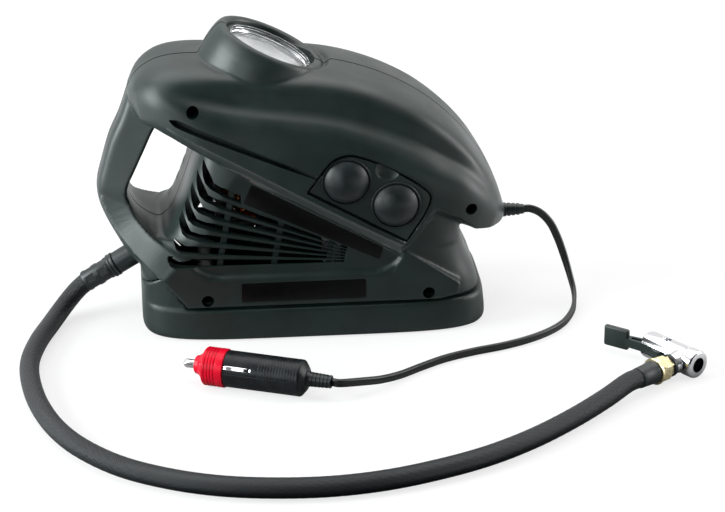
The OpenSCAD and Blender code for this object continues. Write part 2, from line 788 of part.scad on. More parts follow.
// ---- compressor ----------------------------------------------------------------------
shelf_t = 4;
piston_h = 10;
rod_l = 52;
top_room = 3;           // space over the piston at the top of its stroke
piston_z = gear_z + stroke / 2 + rod_l;        // piston's middle at the top of its stroke
piston_r = cylinder_bore / 2 - clear;
cylinder_z = piston_z + piston_h / 2 + top_room - cylinder_h;
shelf_z = cylinder_z - shelf_t;
head_z = cylinder_z + cylinder_h + 1;

module gearbox_frame() color(alloy) difference() {
    union() {
        translate([frame_x, -24, frame_foot_z]) cube([frame_t, 48, shelf_z - frame_foot_z]);
        translate([frame_x, -24, shelf_z - 1]) cube([frame_t, 48, shelf_t + 1]);
        translate([frame_x, -19, shelf_z]) cube([cylinder_x + fin_r - frame_x, 38, shelf_t]);
        along_x(frame_x - 5, gear_z) cylinder(r = 7.4, h = 6);
        for (s = [-1, 1]) translate([frame_x + frame_t / 2, s * frame_post_y, frame_foot_z])
            cylinder(r = 4.5, h = 8);
        for (s = [-1, 1]) slab(s * 21.5 - 1.5, s * 21.5 + 1.5)
            polygon([[frame_x + 1, shelf_z - 18], [frame_x + 1, shelf_z + 1],
                [cylinder_x + 8, shelf_z + 1], [cylinder_x + 8, shelf_z - 2]]);
        for (s = [-1, 1]) translate([frame_x, s * 19.5 - 3.5, shelf_z])
            cube([cylinder_x + 8 - frame_x, 7, shelf_t]);
    }
    translate([cylinder_x, 0, shelf_z - 5]) cylinder(r = cylinder_bore / 2 + 0.5, h = 20);
    along_x(frame_x - 1, motor_z) cylinder(r = 4.5 + seat, h = frame_t + 2);
    along_x(frame_x - 6, gear_z) cylinder(r = 6 + seat, h = frame_t + 8);
    for (s = [-1, 1]) translate([frame_x + frame_t / 2, s * frame_post_y, frame_foot_z - 1])
        cylinder(r = screw_r + seat, h = 9);
}

module piston() color(alloy) {
    translate([cylinder_x, 0, piston_z - piston_h / 2]) cylinder(r = piston_r, h = piston_h - 2);
    difference() {
        union() {
            translate([rod_x, -3, gear_z + stroke / 2 + 4])
                cube([rod_t, 6, rod_l - 4 - piston_h / 2 + 0.5]);
            along_x(rod_x, gear_z + stroke / 2) cylinder(r = 6.5, h = rod_t);
        }
        along_x(rod_x - 1, gear_z + stroke / 2) cylinder(r = pin_r + seat, h = rod_t + 2);
    }
}

module piston_seal() color(rubber) translate([cylinder_x, 0, piston_z + piston_h / 2 - 2])
    cylinder(r = piston_r + 0.1, h = 2);

module head_holes(h) {
    for (a = [45 : 90 : 315]) rotate([0, 0, a]) translate([fin_r - 3, 0, 0])
        cylinder(r = screw_r + seat, h = h);
}

module cylinder_body() {
    difference() {
        union() {
            cylinder(r = cylinder_bore / 2 + 3, h = cylinder_h);
            cylinder(r = fin_r, h = 2.5);
            for (z = [6 : 4 : cylinder_h - 7]) translate([0, 0, z])
                cylinder(r = fin_r, h = 1.5);
            translate([0, 0, cylinder_h - 3]) cylinder(r = fin_r, h = 3);
        }
        translate([0, 0, -1]) cylinder(r = cylinder_bore / 2, h = cylinder_h + 2);
        translate([0, 0, cylinder_h - 3 - eps]) head_holes(4);
    }
}

module cylinder_node() color(alloy) translate([cylinder_x, 0, cylinder_z]) cylinder_body();

module head_gasket() color(rubber)
    translate([cylinder_x, 0, cylinder_z + cylinder_h]) difference() {
        ring(fin_r, cylinder_bore / 2, 1);
        translate([0, 0, -1]) head_holes(3);
    }

outlet_y = 20;
module cylinder_head() color(alloy) translate([cylinder_x, 0, head_z]) difference() {
    union() {
        cylinder(r = fin_r, h = 8);
        translate([0, 0, 4]) rotate([-90, 0, 0]) cylinder(r = 3, h = outlet_y + 3);
    }
    translate([0, 0, -1]) cylinder(r = cylinder_bore / 2 - 2, h = 4);
    translate([0, 0, 4]) rotate([-90, 0, 0]) cylinder(r = 1.5, h = far);
    translate([0, 0, -1]) head_holes(20);
}

module head_screws() color(steel) translate([cylinder_x, 0, head_z])
    for (a = [45 : 90 : 315]) rotate([0, 0, a]) translate([fin_r - 3, 0, 0]) {
        translate([0, 0, 8]) cylinder(r = 2.6, h = 2);
        translate([0, 0, -2]) cylinder(r = screw_r, h = 10.5);
    }

// ---- air path ------------------------------------------------------------------------
tube_route = [
    [cylinder_x, outlet_y + 3.2, head_z + 4], [cylinder_x, outlet_y + 7, head_z + 4],
    [21.5, 32, head_z + 2.5], [8, 34, 107], [-8, 34.5, 100], [-24, 34, 92], [-40, 32.5, 82],
    [-54, 29, 70], [-64, 22, 59], [-71, 12, 52.5], [-76, 4, 50.5],
    hose_exit - hose_out * 19.5, hose_exit - hose_out * 15.3
];
module air_tube() color(rubber) tube_along(tube_route, 6, 6, 8, [0, 0, 1]);

module hose_fitting() color(brass) at_hose_exit() {
    translate([0, 0, -15]) ring(fitting_r, 2, 19);
    translate([0, 0, -10]) ring(8.5, fitting_r - 0.5, 3.6);
}

module hose_sleeve() color(rubber) at_hose_exit() difference() {
    union() {
        translate([0, 0, -6]) cylinder(r = sleeve_r, h = 10);
        cylinder(r1 = sleeve_r, r2 = hose_d / 2 + 0.9, h = sleeve_l);
    }
    translate([0, 0, 4.5]) cylinder(r = hose_d / 2 + seat, h = far);
    translate([0, 0, -7]) cylinder(r = fitting_r + seat, h = 12);
}

module hose_band() color(rubber) at_hose_exit() translate([0, 0, 17])
    ring(sleeve_r + 0.6, sleeve_r - 0.35, 4);

hose_z = hose_d / 2 + 0.2;
chuck_heading = -54;
chuck_axis = [cos(chuck_heading), sin(chuck_heading), 0];
nut_heading = chuck_heading + 90;
nut_axis = [cos(nut_heading), sin(nut_heading), 0];
chuck_rear = [175, -88, chuck_r];
nut_meets = chuck_rear + chuck_axis * 26.5;     // where the hose's line meets the barrel's
ferrule_start = nut_meets - nut_axis * 36;
hose_route = concat(
    [for (d = [5, 16, 27, 34]) hose_exit + hose_out * d],
    [
        [-134, -1, 14.5], [-140, -6, 9.5], [-145, -15, 6.5], [-149, -26, hose_z],
        [-156, -50, hose_z], [-160, -75, hose_z], [-159, -100, hose_z],
        [-154, -128, hose_z], [-145, -155, hose_z], [-132, -178, hose_z],
        [-113, -199, hose_z], [-90, -214, hose_z], [-65, -224, hose_z],
        [-38, -229, hose_z], [-10, -230, hose_z], [18, -226, hose_z],
        [46, -217, hose_z], [72, -205, hose_z], [97, -189, hose_z],
        [121, -170, hose_z], [141, -152, 6.2]
    ],
    [ferrule_start - nut_axis * 8, ferrule_start + nut_axis * 2]
);
module air_hose() color(rubber) tube_along(hose_route, hose_d, hose_d, 8, [0, 0, 1]);

ferrule_l = 12;
module hose_ferrule() color(rubber) lay(ferrule_start, nut_heading) difference() {
    cylinder(r1 = hose_d / 2 + 0.9, r2 = hose_d / 2 + 1.6, h = ferrule_l);
    translate([0, 0, -1]) cylinder(r = hose_d / 2 + seat, h = 3.2);
}

nut_l = 11;
module coupling_nut() color(brass) lay(ferrule_start + nut_axis * ferrule_l, nut_heading) {
    cylinder(r = nut_flats / sqrt(3), h = nut_l - 3, $fn = 6);
    translate([0, 0, nut_l - 3.1]) cylinder(r = nut_flats / 2 - 0.8, h = 3.1);
}

washer_l = 2.2;
module chuck_washer() color(rubber)
    lay(ferrule_start + nut_axis * (ferrule_l + nut_l), nut_heading)
        cylinder(r = nut_flats / 2 - 0.2, h = washer_l);

// ---- chuck ---------------------------------------------------------------------------
pin_along = 14;         // distance of the lever's pin from the barrel's rear
lever_t = 5;
lever_rest = 15;        // how far the released lever stands off the barrel's line
lever_at = chuck_rear + chuck_axis * pin_along;
pin_radius = 1.6;
cam_r = 4.6;
lip = 2;

module at_chuck(s) {
    lay(chuck_rear + chuck_axis * s, chuck_heading) children();
}

module chuck_barrel() color(steel) difference() {
    union() {
        at_chuck(0) rotate_extrude() polygon([
            [0, 0], [chuck_r - 1.6, 0], [chuck_r - 0.4, 1.2], [chuck_r - 0.4, chuck_l - 8],
            [chuck_r, chuck_l - 7.6], [chuck_r, chuck_l - 1], [chuck_r - 1, chuck_l],
            [0, chuck_l]
        ]);
        lay(nut_meets - nut_axis * (36 - ferrule_l - nut_l - washer_l), nut_heading)
            cylinder(r = nut_flats / 2 - 1.4, h = 10);
    }
    at_chuck(chuck_l - 14) cylinder(r = valve_bore_r, h = far);
    at_chuck(chuck_l - 7) cylinder(r = 6, h = 7 - lip);
    // slot for the lever's cam, open to the rear and to both sides
    translate([lever_at[0], lever_at[1], chuck_r - lever_t / 2 - clear])
        rotate([0, 0, chuck_heading])
            translate([-pin_along - 1, -far / 2, 0])
                cube([pin_along + 1 + cam_r + clear, far, lever_t + 2 * clear]);
    translate([lever_at[0], lever_at[1], -1]) cylinder(r = pin_radius + 0.02, h = far);
}

module chuck_seal() color(rubber) at_chuck(chuck_l - 7 + seat)
    ring(5.9, valve_bore_r, 7 - lip - 2 * seat);

module lever_pin() color(steel) translate([lever_at[0], lever_at[1], 0.6])
    cylinder(r = pin_radius, h = 2 * chuck_r - 1.2);

paddle_l = 14;
paddle_h = 11;
paddle_t = 3;
module chuck_lever() color(plastic)
    translate([lever_at[0], lever_at[1], chuck_r - lever_t / 2])
        rotate([0, 0, chuck_heading + 180 + lever_rest]) difference() {
            union() {
                cylinder(r = cam_r, h = lever_t);
                linear_extrude(lever_t) polygon([
                    [0, -4.4], [lever_l - paddle_l, -2.2], [lever_l - paddle_l, 2.4],
                    [9, 3.4], [4, 8.2], [0.5, 8.6], [-2.5, 4]
                ]);
                translate([lever_l - paddle_l - 1, -paddle_t / 2, (lever_t - paddle_h) / 2])
                    cube([paddle_l + 1, paddle_t, paddle_h]);
            }
            translate([0, 0, -1]) cylinder(r = pin_radius + running, h = far);
        }

// ---- power cord ----------------------------------------------------------------------
module cord_gland() color(rubber) {
    at_gland(0) cylinder(r = gland_r, h = gland_in);
    at_gland(collar_at) cylinder(r = gland_collar_r, h = collar_t);
    at_gland(gland_in - eps) cylinder(r1 = gland_r, r2 = cord_w / 2 + 0.6, h = gland_l);
}

plug_heading = -22;
plug_dir = [cos(plug_heading), sin(plug_heading), 0];
plug_at = [-77.5, -94, plug_ring_r];        // the tip contact's outer end
tip_l = 5.5;
nose_l = 6.5;
ring_l = 12.5;
land_l = 4;             // plain rear end of the ribbed ring
relief_l = 13;
function plug_point(t) = plug_at + plug_dir * t;
ring_t = tip_l + nose_l;
barrel_t = ring_t + ring_l;
relief_t = barrel_t + plug_l;
tip_flange_r = 3.4;
fuse_r = 3.2;
fuse_l = 27;
fuse_end = tip_l + 3.5 + tip_travel + 1 + fuse_l;

cord_floor = cord_w / 2 + 0.2;
cord_route = concat(
    [cord_exit + [gland_l + seat, 0, 0]],
    [
        [123, 0, 53], [129, 0, 50], [134.5, -0.5, 44], [138.5, -1, 36], [141.5, -2, 28],
        [144, -4, 20], [146, -8, 12.5], [147, -14, 7], [146, -22, 3.6],
        [143, -32, cord_floor], [136, -46, cord_floor], [126, -57, cord_floor],
        [113, -66, cord_floor], [98, -73, cord_floor], [80, -79, cord_floor],
        [64, -86, cord_floor], [50, -95, cord_floor], [38, -104, 2.8], [27, -112, 4.4],
        [17, -119.5, 7.4]
    ],
    [plug_point(relief_t + relief_l + 5), plug_point(relief_t + relief_l)]
);
module power_cord() color(rubber) tube_along(cord_route, cord_t, cord_w, 8, [0, 0, 1]);

// ---- plug ----------------------------------------------------------------------------
module plug_relief() color(rubber) lay(plug_point(relief_t), plug_heading)
    cylinder(r1 = 4, r2 = 2.9, h = relief_l);

contact_l = 16;
module plug_barrel() color(plastic) lay(plug_point(barrel_t), plug_heading) difference() {
    rotate_extrude() polygon([
        [0, 0], [plug_r, 0], [plug_r, plug_l * 0.45], [plug_r - 0.9, plug_l - 3],
        [plug_r - 4, plug_l], [0, plug_l]
    ]);
    translate([0, 0, -1]) cylinder(r = fuse_r + clear, h = fuse_end + 1.3 - barrel_t);
    for (s = [-1, 1]) translate([-2 - seat, s * (plug_r - 1) - 1.5, -1])
        cube([4 + 2 * seat, 3, contact_l + 1 + seat]);
}

module plug_contacts() color(steel) lay(plug_point(barrel_t), plug_heading)
    for (s = [-1, 1]) translate([-2, s * (plug_r - 1) - 1.5 + (s < 0 ? 0.0 : seat), 0])
        cube([4, 3 - seat, contact_l]);

module plug_ring() color(red) lay(plug_point(ring_t), plug_heading) difference() {
    union() {
        cylinder(r = plug_ring_r - 0.8, h = ring_l);
        translate([0, 0, ring_l - land_l]) cylinder(r = plug_ring_r, h = land_l);
        for (z = [0.6 : 2.4 : ring_l - land_l - 2]) translate([0, 0, z])
            cylinder(r = plug_ring_r, h = 1.5);
    }
    translate([0, 0, -1]) cylinder(r = fuse_r + clear, h = ring_l + 2);
}

module plug_nose() color(red) lay(plug_point(tip_l), plug_heading) difference() {
    union() {
        cylinder(r = 6.7, h = nose_l);
        translate([0, 0, nose_l - 2.5]) cylinder(r = 8.2, h = 2.5);
    }
    translate([0, 0, -1]) cylinder(r = 2.4 + clear, h = 4);
    translate([0, 0, 1.6]) cylinder(r = tip_flange_r + clear, h = nose_l);
}

module plug_tip() color(steel) lay(plug_point(0), plug_heading) {
    rotate_extrude() polygon([[0, 0], [1.2, 0], [2.4, 1.2], [2.4, tip_l + 2], [0, tip_l + 2]]);
    translate([0, 0, tip_l + 1.9]) cylinder(r = tip_flange_r, h = 1.6);
}

module plug_fuse() color([0.9, 0.9, 0.85]) lay(plug_point(fuse_end - fuse_l), plug_heading)
    cylinder(r = fuse_r, h = fuse_l);

// ---- leads ---------------------------------------------------------------------------
tab_y = switch_back + 4;        // end of the switches' contact tabs
tab_x = 4;                      // half the distance between a switch's tabs
light_tab = [button_at[1][0] + tab_x, button_at[1][1]];
compressor_tab = [button_at[0][0] - tab_x, button_at[0][1]];
lead_route = [
    cord_exit - [gland_in + 0.3, 0, 0], cord_exit - [gland_in + 4, 0, 0], [88, -2.5, 59.5],
    [82, -6, 63], [76, -9, 67.5], [66, -12, 73], [55, -13.5, 76], [47.5, -14, 77.4],
    [light_tab[0], tab_y + 2.5, light_tab[1]], [light_tab[0], tab_y + 0.3, light_tab[1]]
];
lead_to_motor = [
    [compressor_tab[0], tab_y + 0.3, compressor_tab[1]],
    [compressor_tab[0], tab_y + 2.5, compressor_tab[1]], [3.5, -14, 95],
    [-8, -13.5, 97], [-20, -13, 97], [-32, -12, 96.5], [can_x0 - 5, -9.5, 93],
    [brush_x, -7.6, 87], [brush_x, -8.4, 80], [brush_x, -brush_r, 75.5], [brush_x, -brush_r, 72.3]
];
module motor_leads() color(red) {
    tube_along(lead_route, 2.4, 2.4, 6, [0, 1, 0]);
    tube_along(lead_to_motor, 2.4, 2.4, 6, [0, 0, 1]);
}

shell_near();
shell_far();
base();
base_pads();
case_screws();
base_screws();
upper_label();
lower_label();
lamp_ring();
lamp_lens();
lamp_reflector();
lamp_bulb();
bulb_holder();
switch_panel();
button_seals();
compressor_button();
light_button();
compressor_switch();
light_switch();
motor_can();
motor_end_frame();
armature();
commutator();
motor_shaft();
shaft_bushes();
cooling_fan();
pinion();
gearbox_frame();
crank_gear();
gear_shaft();
gear_bush();
crank_pin();
piston();
piston_seal();
cylinder_node();  // cylinder
head_gasket();
cylinder_head();
head_screws();
air_tube();
hose_fitting();
hose_sleeve();
hose_band();
air_hose();
hose_ferrule();
coupling_nut();
chuck_washer();
chuck_barrel();
chuck_seal();
chuck_lever();
lever_pin();
cord_gland();
power_cord();
plug_relief();
plug_barrel();
plug_contacts();
plug_ring();
plug_nose();
plug_tip();
plug_fuse();
motor_leads();
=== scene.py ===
"""Portable tyre inflator with a work light: its finished surfaces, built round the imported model.

Sizes in the build code are millimetres; finished pieces are scaled to metres.
"""

import math

import bmesh
import bpy
from mathutils import Matrix, Vector


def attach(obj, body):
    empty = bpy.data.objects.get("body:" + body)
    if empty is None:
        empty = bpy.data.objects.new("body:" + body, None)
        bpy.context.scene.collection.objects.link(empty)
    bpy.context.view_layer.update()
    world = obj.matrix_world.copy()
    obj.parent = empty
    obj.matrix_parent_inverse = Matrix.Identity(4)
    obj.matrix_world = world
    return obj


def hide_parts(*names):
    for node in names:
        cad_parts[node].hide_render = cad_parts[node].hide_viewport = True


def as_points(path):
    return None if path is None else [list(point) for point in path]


bl_info = {
    "name": "Tyre inflator",
    "version": (1, 0, 0),
    "blender": (4, 5, 0),
    "location": "View3D > Sidebar > Inflator",
    "description": "Builds the finished surfaces of a portable tyre inflator round its packed model",
    "category": "Object",
}

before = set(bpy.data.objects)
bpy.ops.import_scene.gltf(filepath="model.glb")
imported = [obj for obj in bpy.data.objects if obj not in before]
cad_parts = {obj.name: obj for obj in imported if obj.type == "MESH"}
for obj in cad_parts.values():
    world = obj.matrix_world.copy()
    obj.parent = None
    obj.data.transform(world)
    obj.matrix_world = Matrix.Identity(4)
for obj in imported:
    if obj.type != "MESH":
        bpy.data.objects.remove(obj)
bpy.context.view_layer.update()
MM = 0.001


def linear(code, alpha=1.0):
    """Turns an sRGB hex colour into the linear values that shaders use."""
    shares = [int(code[i : i + 2], 16) / 255 for i in (1, 3, 5)]
    return tuple(c / 12.92 if c <= 0.04045 else ((c + 0.055) / 1.055) ** 2.4 for c in shares) + (alpha,)


# ---- settings ------------------------------------------------------------------------------
def length(name, description, default):
    return bpy.props.FloatProperty(name=name, description=description, default=default, unit="LENGTH", precision=5)


def colour(name, description, code):
    return bpy.props.FloatVectorProperty(
        name=name, description=description, default=linear(code), size=4, min=0, max=1, subtype="COLOR"
    )


def power(name, description, default):
    return bpy.props.FloatProperty(name=name, description=description, default=default, unit="POWER")


class HousingSettings(bpy.types.PropertyGroup):
    grain: length("Facet size", "Size of the facets that the moulded shells are rebuilt with", 0.0008)
    softening: bpy.props.IntProperty(
        name="Softening", description="Smoothing passes that round the moulded edges", default=5, min=0, max=40
    )
    seam: length("Seam", "Width of the gap between the two housing halves", 0.0011)
    chamfer: length("Lower edge", "Height of the bevelled strip along the upper housing's lower edge", 0.007)
    plastic: colour("Housing colour", "Colour of the moulded housing", "#10201D")
    rubber: colour("Rubber colour", "Colour of buttons, seals and pads", "#10191A")
    label: colour("Label colour", "Colour of the bare labels", "#060607")


class HoseSettings(bpy.types.PropertyGroup):
    diameter: length("Hose diameter", "Outer diameter of the braided air hose", 0.0106)
    weave: length("Braid pitch", "Distance between neighbouring strands of the braid", 0.0026)
    braid: colour("Braid colour", "Colour of the braided yarn", "#0A0E10")
    cord_width: length("Cord width", "Width of the flat two-core cord", 0.0046)
    cord_height: length("Cord height", "Height of the flat two-core cord", 0.0028)
    sheath: colour("Cord colour", "Colour of the cord's sheath", "#0F1112")


class PlugSettings(bpy.types.PropertyGroup):
    cap: colour("Cap colour", "Colour of the plug's cap and ribbed ring", "#D90729")
    barrel: colour("Barrel colour", "Colour of the plug's barrel", "#15181A")


class StageSettings(bpy.types.PropertyGroup):
    lens: bpy.props.FloatProperty(
        name="Lens", description="Focal length of the camera", default=0.13035, unit="CAMERA"
    )
    top: power("Top light", "Power of the overhead softbox", 25)
    left: power("Left light", "Power of the left softbox", 42)
    right: power("Right light", "Power of the right softbox", 14)
    front: power("Front light", "Power of the softbox at the front left", 5)
    floor: colour("Floor colour", "Colour of the studio floor", "#F4F4F4")


def settings(name):
    return getattr(bpy.context.scene, "inflator_" + name)


# ---- materials -----------------------------------------------------------------------------
def add_node(tree, kind, values=None, **options):
    """Adds a node, sets its options and its inputs; an input given a socket is linked."""
    node = tree.nodes.new(kind)
    for option, value in options.items():
        setattr(node, option, value)
    for key, value in (values or {}).items():
        if isinstance(value, bpy.types.NodeSocket):
            tree.links.new(value, node.inputs[key])
        else:
            node.inputs[key].default_value = value
    return node


def lumps(size_mm, detail, rough=0.5, stretch=None):
    """A pattern of noise whose lumps are about size_mm across."""

    def pattern(tree):
        where = add_node(tree, "ShaderNodeTexCoord").outputs["Object"]
        if stretch:
            where = add_node(tree, "ShaderNodeMapping", {"Vector": where, "Scale": stretch}).outputs["Vector"]
        scale = {"Scale": 1 / (size_mm * MM), "Detail": detail, "Roughness": rough}
        return add_node(tree, "ShaderNodeTexNoise", {"Vector": where, **scale}).outputs["Fac"]

    return pattern


def crossed_strands(tree):
    """The braid's pattern: two sets of strands on the slant; U runs along the hose and V round it."""
    where = add_node(tree, "ShaderNodeUVMap", uv_map="braid").outputs["UV"]
    strands = []
    for turn in (45, -45):
        slant = {"Vector": where, "Rotation": (0, 0, math.radians(turn))}
        lean = add_node(tree, "ShaderNodeMapping", slant).outputs["Vector"]
        wave = {"Vector": lean, "Scale": 0.9, "Distortion": 0.4, "Detail": 1}
        strands.append(add_node(tree, "ShaderNodeTexWave", wave, wave_type="BANDS", wave_profile="SIN").outputs["Fac"])
    return add_node(tree, "ShaderNodeMath", {0: strands[0], 1: strands[1]}, operation="MAXIMUM").outputs[0]


def look(base, rough, mottle=None, wander=None, relief=None, **sockets):
    """A row of SKINS; what is left over goes straight to the shader's sockets."""
    return {"base": base, "rough": rough, "mottle": mottle, "wander": wander, "relief": relief, "sockets": sockets}


def metal(base, rough, wander, grain_mm, depth, stretch=None):
    """A bare or plated metal; its grain makes the reflections wander a little."""
    grain = lumps(grain_mm, 4, 0.55, stretch)
    mottle = (lumps(grain_mm * 3, 3), 0.86, 1.04)
    wandering = (grain, max(0.02, rough - wander), rough + wander)
    return look(base, rough, mottle, wandering, (grain, depth, 0.5), Metallic=1.0)


# Every finish, named for the real material. The base is a hex colour or a setting. Each pattern has a
# low and a high end: shares of the base colour for mottle, roughness for wander, and depth in
# millimetres and strength for relief.
SKINS = {
    # ABS from a spark-eroded mould: an even pebbled skin that breaks reflections into a soft satin. The
    # real grain of about 0.3 mm is drawn at 0.9 mm so that it shows.
    "moulded_abs_black": look(
        "housing.plastic", 0.43, mottle=(lumps(14, 4), 0.85, 1.25), wander=(lumps(22, 3), 0.39, 0.48),
        relief=(lumps(0.9, 2, 0.6), 0.06, 0.55), IOR=1.5, Specular_IOR_Level=0.55,
    ),
    # the moulding's bevelled edge, bare of grain: it mirrors the bright floor as a pale band
    "moulded_abs_polished": look(
        "housing.plastic", 0.3, mottle=(lumps(14, 4), 0.9, 1.2), relief=(lumps(1.4, 2), 0.03, 0.3), IOR=1.5,
        Specular_IOR_Level=1.0, Coat_Weight=1.0, Coat_Roughness=0.3,
    ),
    # nylon from a polished mould: smoother than the housing, with faint flow marks
    "moulded_nylon_black": look(
        "#141617", 0.38, mottle=(lumps(9, 3), 0.8, 1.3), relief=(lumps(2.5, 2), 0.03, 0.4), IOR=1.53,
    ),
    # moulded rubber: dull, with a little bloom that lightens it in patches
    "moulded_rubber_black": look(
        "housing.rubber", 0.4, mottle=(lumps(6, 4), 0.8, 1.5), wander=(lumps(4, 4), 0.34, 0.46),
        relief=(lumps(0.7, 2), 0.04, 0.5), IOR=1.52, Specular_IOR_Level=0.5,
    ),
    # self-adhesive vinyl: deeper black and smoother than the plastic round it
    "label_vinyl_black": look(
        "housing.label", 0.3, mottle=(lumps(5, 3), 0.8, 1.4), relief=(lumps(3, 2), 0.02, 0.3), IOR=1.5,
        Specular_IOR_Level=0.2,
    ),
    # polyester yarn braided over rubber: strands cross on the slant; the colour is painted lighter on each strand's
    # crown as a painted sheen, and darker in the gaps between strands as painted shade
    "braided_polyester_black": look(
        "hose.braid", 0.4, mottle=(crossed_strands, 0.45, 2.3), relief=(crossed_strands, 0.22, 0.9), IOR=1.52,
        Specular_IOR_Level=0.38,
    ),
    # flexible PVC sheath: smooth and slightly glossy, with a faint drag along its length
    "flexible_pvc_black": look(
        "hose.sheath", 0.36, mottle=(lumps(7, 3), 0.8, 1.3), relief=(lumps(1.5, 2), 0.03, 0.35), IOR=1.53,
    ),
    # insulated wire: plain red PVC
    "wire_pvc_red": look(
        "#A01420", 0.4, mottle=(lumps(5, 3), 0.8, 1.15), IOR=1.53,
    ),
    # glossy moulded plastic: saturated red with a clear surface reflection
    "moulded_abs_red": look(
        "plug.cap", 0.3, mottle=(lumps(5, 3), 0.88, 1.08), wander=(lumps(3, 3), 0.24, 0.36),
        relief=(lumps(1.2, 2), 0.02, 0.35), IOR=1.5, Specular_IOR_Level=0.22,
    ),
    # heat-resistant phenolic of the plug: black, slightly bluish gloss with fine moulding drag
    "moulded_phenolic_black": look(
        "plug.barrel", 0.33, mottle=(lumps(6, 4), 0.75, 1.4), wander=(lumps(4, 4), 0.27, 0.42),
        relief=(lumps(0.8, 2), 0.03, 0.4), IOR=1.55, Specular_IOR_Level=0.24,
    ),
    # bright plate over polished metal: mirror-like; its base colour is tinted warm, a painted reflection of warm
    # golden light
    "chrome_plate": metal("#E6E2D4", 0.07, 0.03, 4.0, 0.006),
    # lightly plated brass from a lathe: pale gold with fine turning marks
    "plated_brass": metal("#F2E3B4", 0.3, 0.08, 0.8, 0.02),
    # bare sintered or turned brass: deeper gold
    "turned_brass": metal("#C9A24E", 0.3, 0.08, 1.2, 0.02),
    # zinc-plated steel: grey, slightly cloudy
    "zinc_plated_steel": metal("#A8AAAE", 0.32, 0.1, 1.5, 0.02),
    # nickel-plated drawn steel of the motor: bright, with faint draw lines
    "plated_drawn_steel": metal("#C9CACC", 0.16, 0.07, 1.2, 0.01, (0.2, 1, 1)),
    # die-cast aluminium: matt grey with a fine crystalline skin
    "die_cast_aluminium": metal("#B9BCC0", 0.42, 0.1, 0.9, 0.05),
    # tungsten filament and its steel supports: dull grey
    "tungsten": metal("#8C8C8E", 0.35, 0.1, 0.6, 0.01),
    # lacquered aluminium coat on moulded facets: it scatters light and looks whiter than chrome
    "lacquered_aluminium": look(
        "#FFFFFF", 0.3, mottle=(lumps(4, 3), 0.92, 1.0), relief=(lumps(2, 3), 0.01, 0.5), Metallic=0.4,
        Specular_IOR_Level=0.8,
    ),
    # lacquered copper wire: warm, glossy, each turn of wire about 0.8 mm apart
    "enamelled_copper": look(
        "#B4682A", 0.26, mottle=(lumps(2.2, 3), 0.5, 1.25), relief=(lumps(0.9, 2, 0.5, (0.3, 1, 1)), 0.2, 0.8),
        Metallic=1.0, Coat_Weight=0.4, Coat_Roughness=0.12,
    ),
    # clear polycarbonate lens: glassy, with very slight moulding ripple
    "clear_polycarbonate": look(
        "#F3F8FA", 0.04, relief=(lumps(6, 2), 0.015, 0.3), IOR=1.58, Transmission_Weight=0.6, Alpha=0.3,
    ),
    # the lens's thick polished rim, which bends all light and shows bright and dark rings
    "polished_polycarbonate": look(
        "#F3F8FA", 0.03, relief=(lumps(6, 2), 0.015, 0.3), IOR=1.58, Transmission_Weight=1.0,
    ),
    # thin clear glass of the bulb, drawn with a slight unevenness
    "bulb_glass": look(
        "#FBFAF4", 0.02, relief=(lumps(5, 2), 0.01, 0.3), IOR=1.45, Transmission_Weight=1.0, Alpha=0.4,
    ),
}


def tinted(base, factor):
    return tuple(min(1, c * factor) for c in base[:3]) + (1.0,)


def skin(name):
    """The material of that name, made once from its row of SKINS."""
    if name in bpy.data.materials:
        return bpy.data.materials[name]
    row = SKINS[name]
    group, _, key = row["base"].partition(".")
    base = tuple(getattr(settings(group), key)) if key else linear(group)
    material = bpy.data.materials.new(name)
    material.use_nodes = True
    material.diffuse_color = base
    tree = material.node_tree
    shader = tree.nodes["Principled BSDF"]
    for socket, value in {"Base Color": base, "Roughness": row["rough"], **row["sockets"]}.items():
        shader.inputs[socket.replace("_", " ")].default_value = value
    for use, goal in (("mottle", "Base Color"), ("wander", "Roughness"), ("relief", "Normal")):
        if not row[use]:
            continue
        pattern, low, high = row[use]
        value = pattern(tree)
        if use == "relief":
            made = add_node(tree, "ShaderNodeBump", {"Height": value, "Distance": low * MM, "Strength": high})
        else:
            # noise seldom leaves its middle third, so that is spread over the whole range
            ends = (low, high) if use == "wander" else (0, 1)
            reach = {"From Min": 0.35, "From Max": 0.65, "To Min": ends[0], "To Max": ends[1]}
            made = add_node(tree, "ShaderNodeMapRange", {"Value": value, **reach})
        if use == "mottle":
            # a colour mix keeps its own pair of sockets, 6 and 7, behind the plain ones
            colours = {"Factor": made.outputs[0], 6: tinted(base, low), 7: tinted(base, high)}
            made = add_node(tree, "ShaderNodeMix", colours, data_type="RGBA")
        tree.links.new(made.outputs[2 if use == "mottle" else 0], shader.inputs[goal])
    return material


# ---- building blocks -----------------------------------------------------------------------
def curve_through(values, at):
    """The value at a place along a smooth line through number tuples, one per whole step."""
    last = len(values) - 1
    i = max(0, min(last - 1, int(math.floor(at))))
    k = min(1.0, max(0.0, at - i))
    a, b = values[i], values[i + 1]
    before = values[i - 1] if i else tuple(2 * p - q for p, q in zip(a, b))
    after = values[i + 2] if i + 2 <= last else tuple(2 * q - p for p, q in zip(a, b))
    return tuple(
        0.5 * (2 * p1 + (p2 - p0) * k + (2 * p0 - 5 * p1 + 4 * p2 - p3) * k * k + (3 * (p1 - p2) + p3 - p0) * k**3)
        for p0, p1, p2, p3 in zip(before, a, b, after)
    )


def line_through(values, at):
    i = max(0, min(len(values) - 2, int(math.floor(at))))
    k = min(1.0, max(0.0, at - i))
    return tuple(a + (b - a) * k for a, b in zip(values[i], values[i + 1]))


def smooth_points(points, steps):
    """More points along a smooth line through the given ones."""
    count = (len(points) - 1) * steps
    return [curve_through(points, i / steps) for i in range(count + 1)]


def close_up(bm):
    bmesh.ops.remove_doubles(bm, verts=bm.verts, dist=0.0001)
    bmesh.ops.holes_fill(bm, edges=[e for e in bm.edges if e.is_boundary], sides=0)
    bmesh.ops.recalc_face_normals(bm, faces=bm.faces)
    return bm


